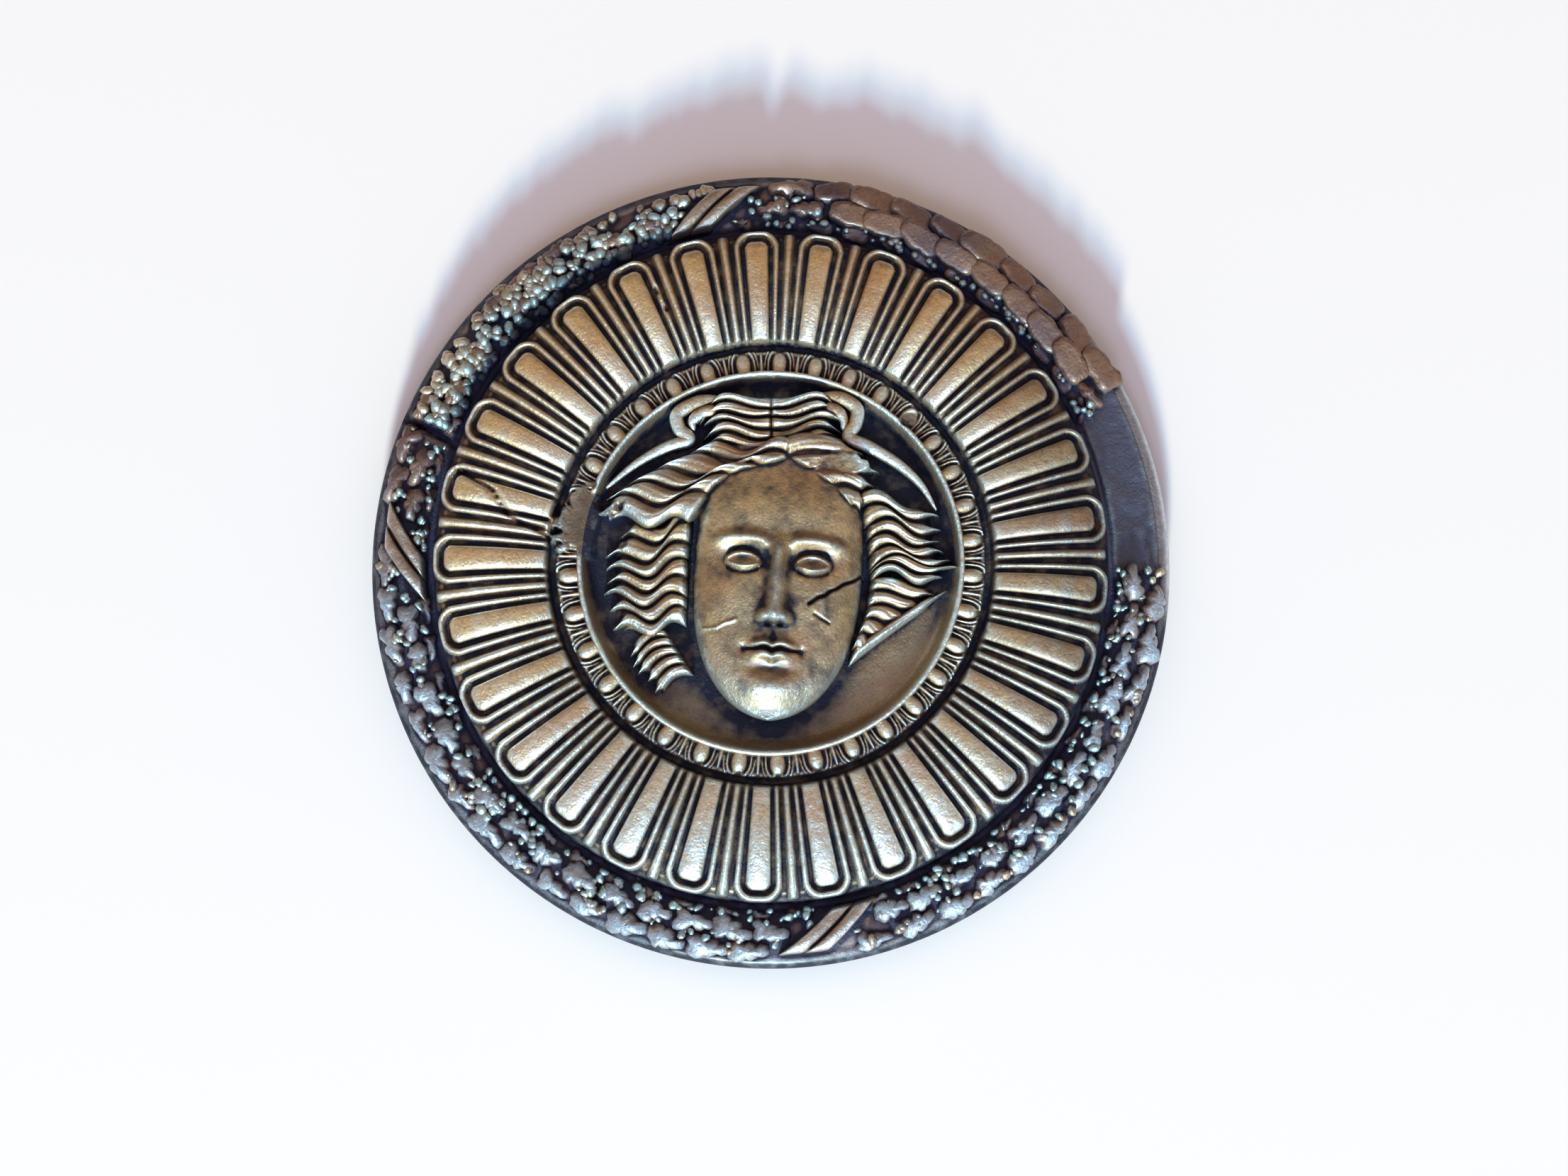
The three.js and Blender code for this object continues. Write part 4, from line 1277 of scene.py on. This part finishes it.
def blurred(field, size):
    frequency = np.fft.fftfreq(field.shape[0], relief["cell"])
    across, along = np.meshgrid(frequency, frequency)
    response = np.exp(-2 * (math.pi * size) ** 2 * (across ** 2 + along ** 2))
    return np.real(np.fft.ifft2(np.fft.fft2(field) * response))


def heightField():  # the highest point of the relief in every cell
    count = int(2 * (outerRadius + relief["margin"]) / relief["cell"])
    field = np.zeros((count, count))
    for piece in pieces.values():
        points = meshPoints(piece)
        quads = np.array([list(face.vertices) for face in piece.data.polygons if len(face.vertices) == 4])
        first, second, third, fourth = (points[quads[:, corner]] for corner in range(4))
        shares = (0.1, 0.37, 0.63, 0.9)
        for right, up in product(shares, repeat=2):
            place = blend(blend(first, second, right), blend(fourth, third, right), up)
            cells = toCells(place).astype(int)
            np.maximum.at(field, (cells[:, 1], cells[:, 0]), place[:, 2])
    around = [np.roll(field, step, axis) for step in (-1, 1) for axis in (0, 1)]
    return np.where(field > 0, field, np.maximum.reduce(around))


def readField(field, points):
    place = toCells(points) - 0.5
    column, row = place.astype(int).T
    right, up = (place - place.astype(int)).T
    lower = blend(field[row, column], field[row, column + 1], right)
    upper = blend(field[row + 1, column], field[row + 1, column + 1], right)
    return blend(lower, upper, up)


def measureSoilAndShade(name, points, radius, turn, near, wide, broad):
    x, y, z = points.T
    isBody = name == "medallionBody"
    # soil and painted shade in grooves and hollows, darker the deeper a place lies
    reach = relief["grooveReach"] * np.where(isBody * (radius < dishRadius), relief["dishGroove"], 1)
    groove = (near - z - 0.04) / reach
    groove *= np.where((radius > filletRadius) & (radius < eggRadius), relief["eggSoilShade"], 1)
    hollow = (wide - z - 0.1) / relief["soilShadeReach"]
    # painted shade in the dish: darker towards the top, in the shadow of the crown and wings, and darker to
    # the left, over soil in its hollow
    shade = blend(1.5, 2.9, smoothStep(-7, 6, y)) + 0.7 * smoothStep(2, -12, x)
    basin = (broad - z - 0.2) * shade / relief["broadSoilShade"] * (radius < dishRadius)
    soilAndShade = np.maximum.reduce([groove, hollow, basin, 0.55 * wornPatch(x, y)])
    if isBody:
        lost = lostShare(radius, turn) * (radius > tongueOuter) * (radius < wreathRadius - 0.2)
        even, cloudy = relief["breakSoil"]
        soilAndShade = np.maximum(soilAndShade, (even + cloudy * softNoise(x, y, 1.8, 31)) * lost)
        onRim = smoothStep(wreathRadius, outerRadius - 0.3, radius)
        onRim *= blend(0.5, 1, z > levels["edge"] - 0.2) * smoothStep(16, 24, np.abs(turnBetween(turn, 14)))
        soilAndShade += relief["rimSoil"] * onRim
        # painted shade: the cove darker towards the top
        inCove = (radius > dishRadius - 1.6) & (radius < dishRadius + 0.1)
        soilAndShade += relief["coveShade"] * inCove * smoothStep(-9, 2, y)
    onTongues = (radius > eggRadius - 0.1) & (radius < tongueOuter + 0.3)
    # darker towards the right of the tongue ring
    soilAndShade += relief["rightDarkening"] * smoothStep(15, 31, x) * onTongues
    # soil and painted shade on the low floors of the tongue ring
    soilAndShade += relief["endSoilShade"] * smoothStep(6.75, 6.35, z) * onTongues
    if name == "maskFace":
        mottle = softNoise(x, y, 1.4, 51) + 0.7 * softNoise(x, y, 0.5, 52)
        soilAndShade += relief["faceSoil"] * (mottle + 0.8)
    if name == "wreathBerries":
        isNodular = inStretch("nodular", turn)
        soilAndShade += relief["berrySoil"] * smoothStep(*relief["berryDark"], radius) * isNodular
    return soilAndShade


def measureWearAndLight(name, points, radius, near, broad):
    y, z = points[:, 1], points[:, 2]
    wearAndLight = (z - near) / relief["wearReach"]
    wearAndLight += (z - broad - 0.5) / relief["broadWear"] * (radius < filletRadius)
    # painted light: the wear is scaled from the top to the bottom of the medallion, paler towards the lamps
    # at the bottom
    ownUpDown = {"wreathLeaves": "leafUpDown", "wreathBerries": "berryUpDown"}
    upDown = blend(*relief[ownUpDown.get(name, "lightUpDown")], smoothStep(28, -28, y))
    wearAndLight *= np.where(radius < eggRadius, relief["innerWear"], upDown)
    onTongues = (radius > eggRadius - 0.1) & (radius < tongueOuter + 0.3)
    # painted light: the lower tongues paler, towards the lamps
    wearAndLight += relief["lowPaintedLight"] * smoothStep(-6, -30, y) * onTongues
    # painted highlight: the inner ends of the upper tongues, which face the lamps
    atRoot = smoothStep(6, 2, radius - tongueInner) * smoothStep(-4, 14, y)
    wearAndLight += relief["rootPaintedLight"] * atRoot * onTongues
    if name == "maskFace":
        wearAndLight *= relief["faceWear"]
    if name == "wreathBerries":
        wearAndLight *= smoothStep(*relief["berryPale"], radius)
    return wearAndLight


def storeMasks():
    field = heightField()
    blurs = [blurred(field, relief[name]) for name in ("wearBlur", "soilShadeBlur", "broadBlur")]
    for name, piece in pieces.items():
        points = meshPoints(piece)
        near, wide, broad = (readField(blur, points) for blur in blurs)
        radius, turn = polar(points)
        masks = {
            "wearAndLight": measureWearAndLight(name, points, radius, near, broad),
            "soilAndShade": measureSoilAndShade(name, points, radius, turn, near, wide, broad),
        }
        for label, values in masks.items():
            attribute = piece.data.attributes.new(label, "FLOAT", "POINT")
            attribute.data.foreach_set("value", np.clip(values, 0, 1))


damagePieces()
storeMasks()
for piece in pieces.values():
    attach(piece, "root")
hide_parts("medallion")
print("masks stored")


# The studio: pale floor, a warm key light, a cool light beside it, a high dim light, sky and camera.

studio = {
    "floorSize": 3.0,  # metres
    "floorColour": (0.845, 0.755, 0.77, 1),
    "floorRoughness": 0.9,
    "floorSpecular": 0.1,
    "target": (1.32, -2.1, 2.0),
    "elevation": 83.5,
    "distance": 235,
    "pixelsPerMillimetre": 13.98,
    "imageWidth": 2212,
    "sensor": 36,
    "nearest": 0.01,  # metres
    "skyAxis": (0, -0.8, 0.6),
    "sky": [  # from away from the axis to along it
        (0.0, (0.012, 0.014, 0.03, 1)),
        (0.2, (0.54, 0.35, 0.18, 1)),
        (0.35, (0.86, 0.58, 0.33, 1)),
        (0.5, (0.78, 0.58, 0.38, 1)),
        (0.67, (0.48, 0.47, 0.48, 1)),
        (0.85, (0.32, 0.46, 0.62, 1)),
        (1.0, (0.46, 0.68, 0.98, 1)),
    ],
}
lampDistance = 3.0
lamps = {  # azimuth, elevation, size in metres, power and colour
    "keyLight": (265, 22.6, 0.28, 76, (1.0, 0.88, 0.42)),
    "coolLight": (266, 27.4, 0.38, 96, (0.37, 0.78, 1.0)),
    "highLight": (268, 56, 1.0, 17, (0.7, 0.7, 1.0)),
}


def aim(piece, target):
    direction = Vector(target) - piece.location
    piece.rotation_euler = direction.to_track_quat("-Z", "Y").to_euler()


def fromDish(azimuth, elevation, distance):
    side, rise = math.radians(azimuth), math.radians(elevation)
    flat = math.cos(rise)
    return distance * Vector((flat * math.cos(side), flat * math.sin(side), math.sin(rise)))


def makeFloor():
    half = studio["floorSize"] / 2 / mm
    corners = [(-half, -half, 0), (half, -half, 0), (half, half, 0), (-half, half, 0)]
    material = bpy.data.materials.new("paleFloor")
    material.use_nodes = True
    shader = material.node_tree.nodes["Principled BSDF"]
    shader.inputs["Base Color"].default_value = studio["floorColour"]
    shader.inputs["Roughness"].default_value = studio["floorRoughness"]
    shader.inputs["Specular IOR Level"].default_value = studio["floorSpecular"]
    meshObject("paleFloor", corners, [[0, 1, 2, 3]], material)


def makeLamps():
    for name, (azimuth, elevation, size, power, colour) in lamps.items():
        data = bpy.data.lights.new(name, "AREA")
        data.shape = "DISK"
        data.size = size
        data.energy = power
        data.color = colour
        light = linkObject(name, data)
        light.location = fromDish(azimuth, elevation, lampDistance)
        aim(light, (0, 0, 0))


def makeCamera():
    data = bpy.data.cameras.new("photoCamera")
    data.sensor_fit = "HORIZONTAL"
    data.sensor_width = studio["sensor"]
    data.lens = studio["pixelsPerMillimetre"] * studio["distance"] / studio["imageWidth"] * studio["sensor"]
    data.clip_start = studio["nearest"]
    camera = linkObject("photoCamera", data)
    target = Vector(studio["target"]) * mm
    camera.location = target + fromDish(270, studio["elevation"], studio["distance"] * mm)
    aim(camera, target)
    bpy.context.scene.camera = camera


def makeSky():
    world = bpy.data.worlds.new("studioSky")
    world.use_nodes = True
    tree = world.node_tree
    direction = addNode(tree, "ShaderNodeTexCoord").outputs["Generated"]
    facing = addNode(tree, "ShaderNodeVectorMath", {"operation": "DOT_PRODUCT"}, _0=direction,
                     _1=studio["skyAxis"])
    share = addNode(tree, "ShaderNodeMapRange", Value=facing.outputs["Value"], From_Min=-0.5, From_Max=1.0)
    ramp = addNode(tree, "ShaderNodeValToRGB", Fac=share.outputs["Result"])
    steps = ramp.color_ramp.elements
    for place, colour in studio["sky"][1:-1]:
        steps.new(place).color = colour
    steps[0].color, steps[-1].color = studio["sky"][0][1], studio["sky"][-1][1]
    tree.links.new(ramp.outputs["Color"], tree.nodes["Background"].inputs["Color"])
    bpy.context.scene.world = world
    bpy.context.scene.view_settings.view_transform = "Standard"


makeFloor()
makeLamps()
makeCamera()
makeSky()
print("studio ready")
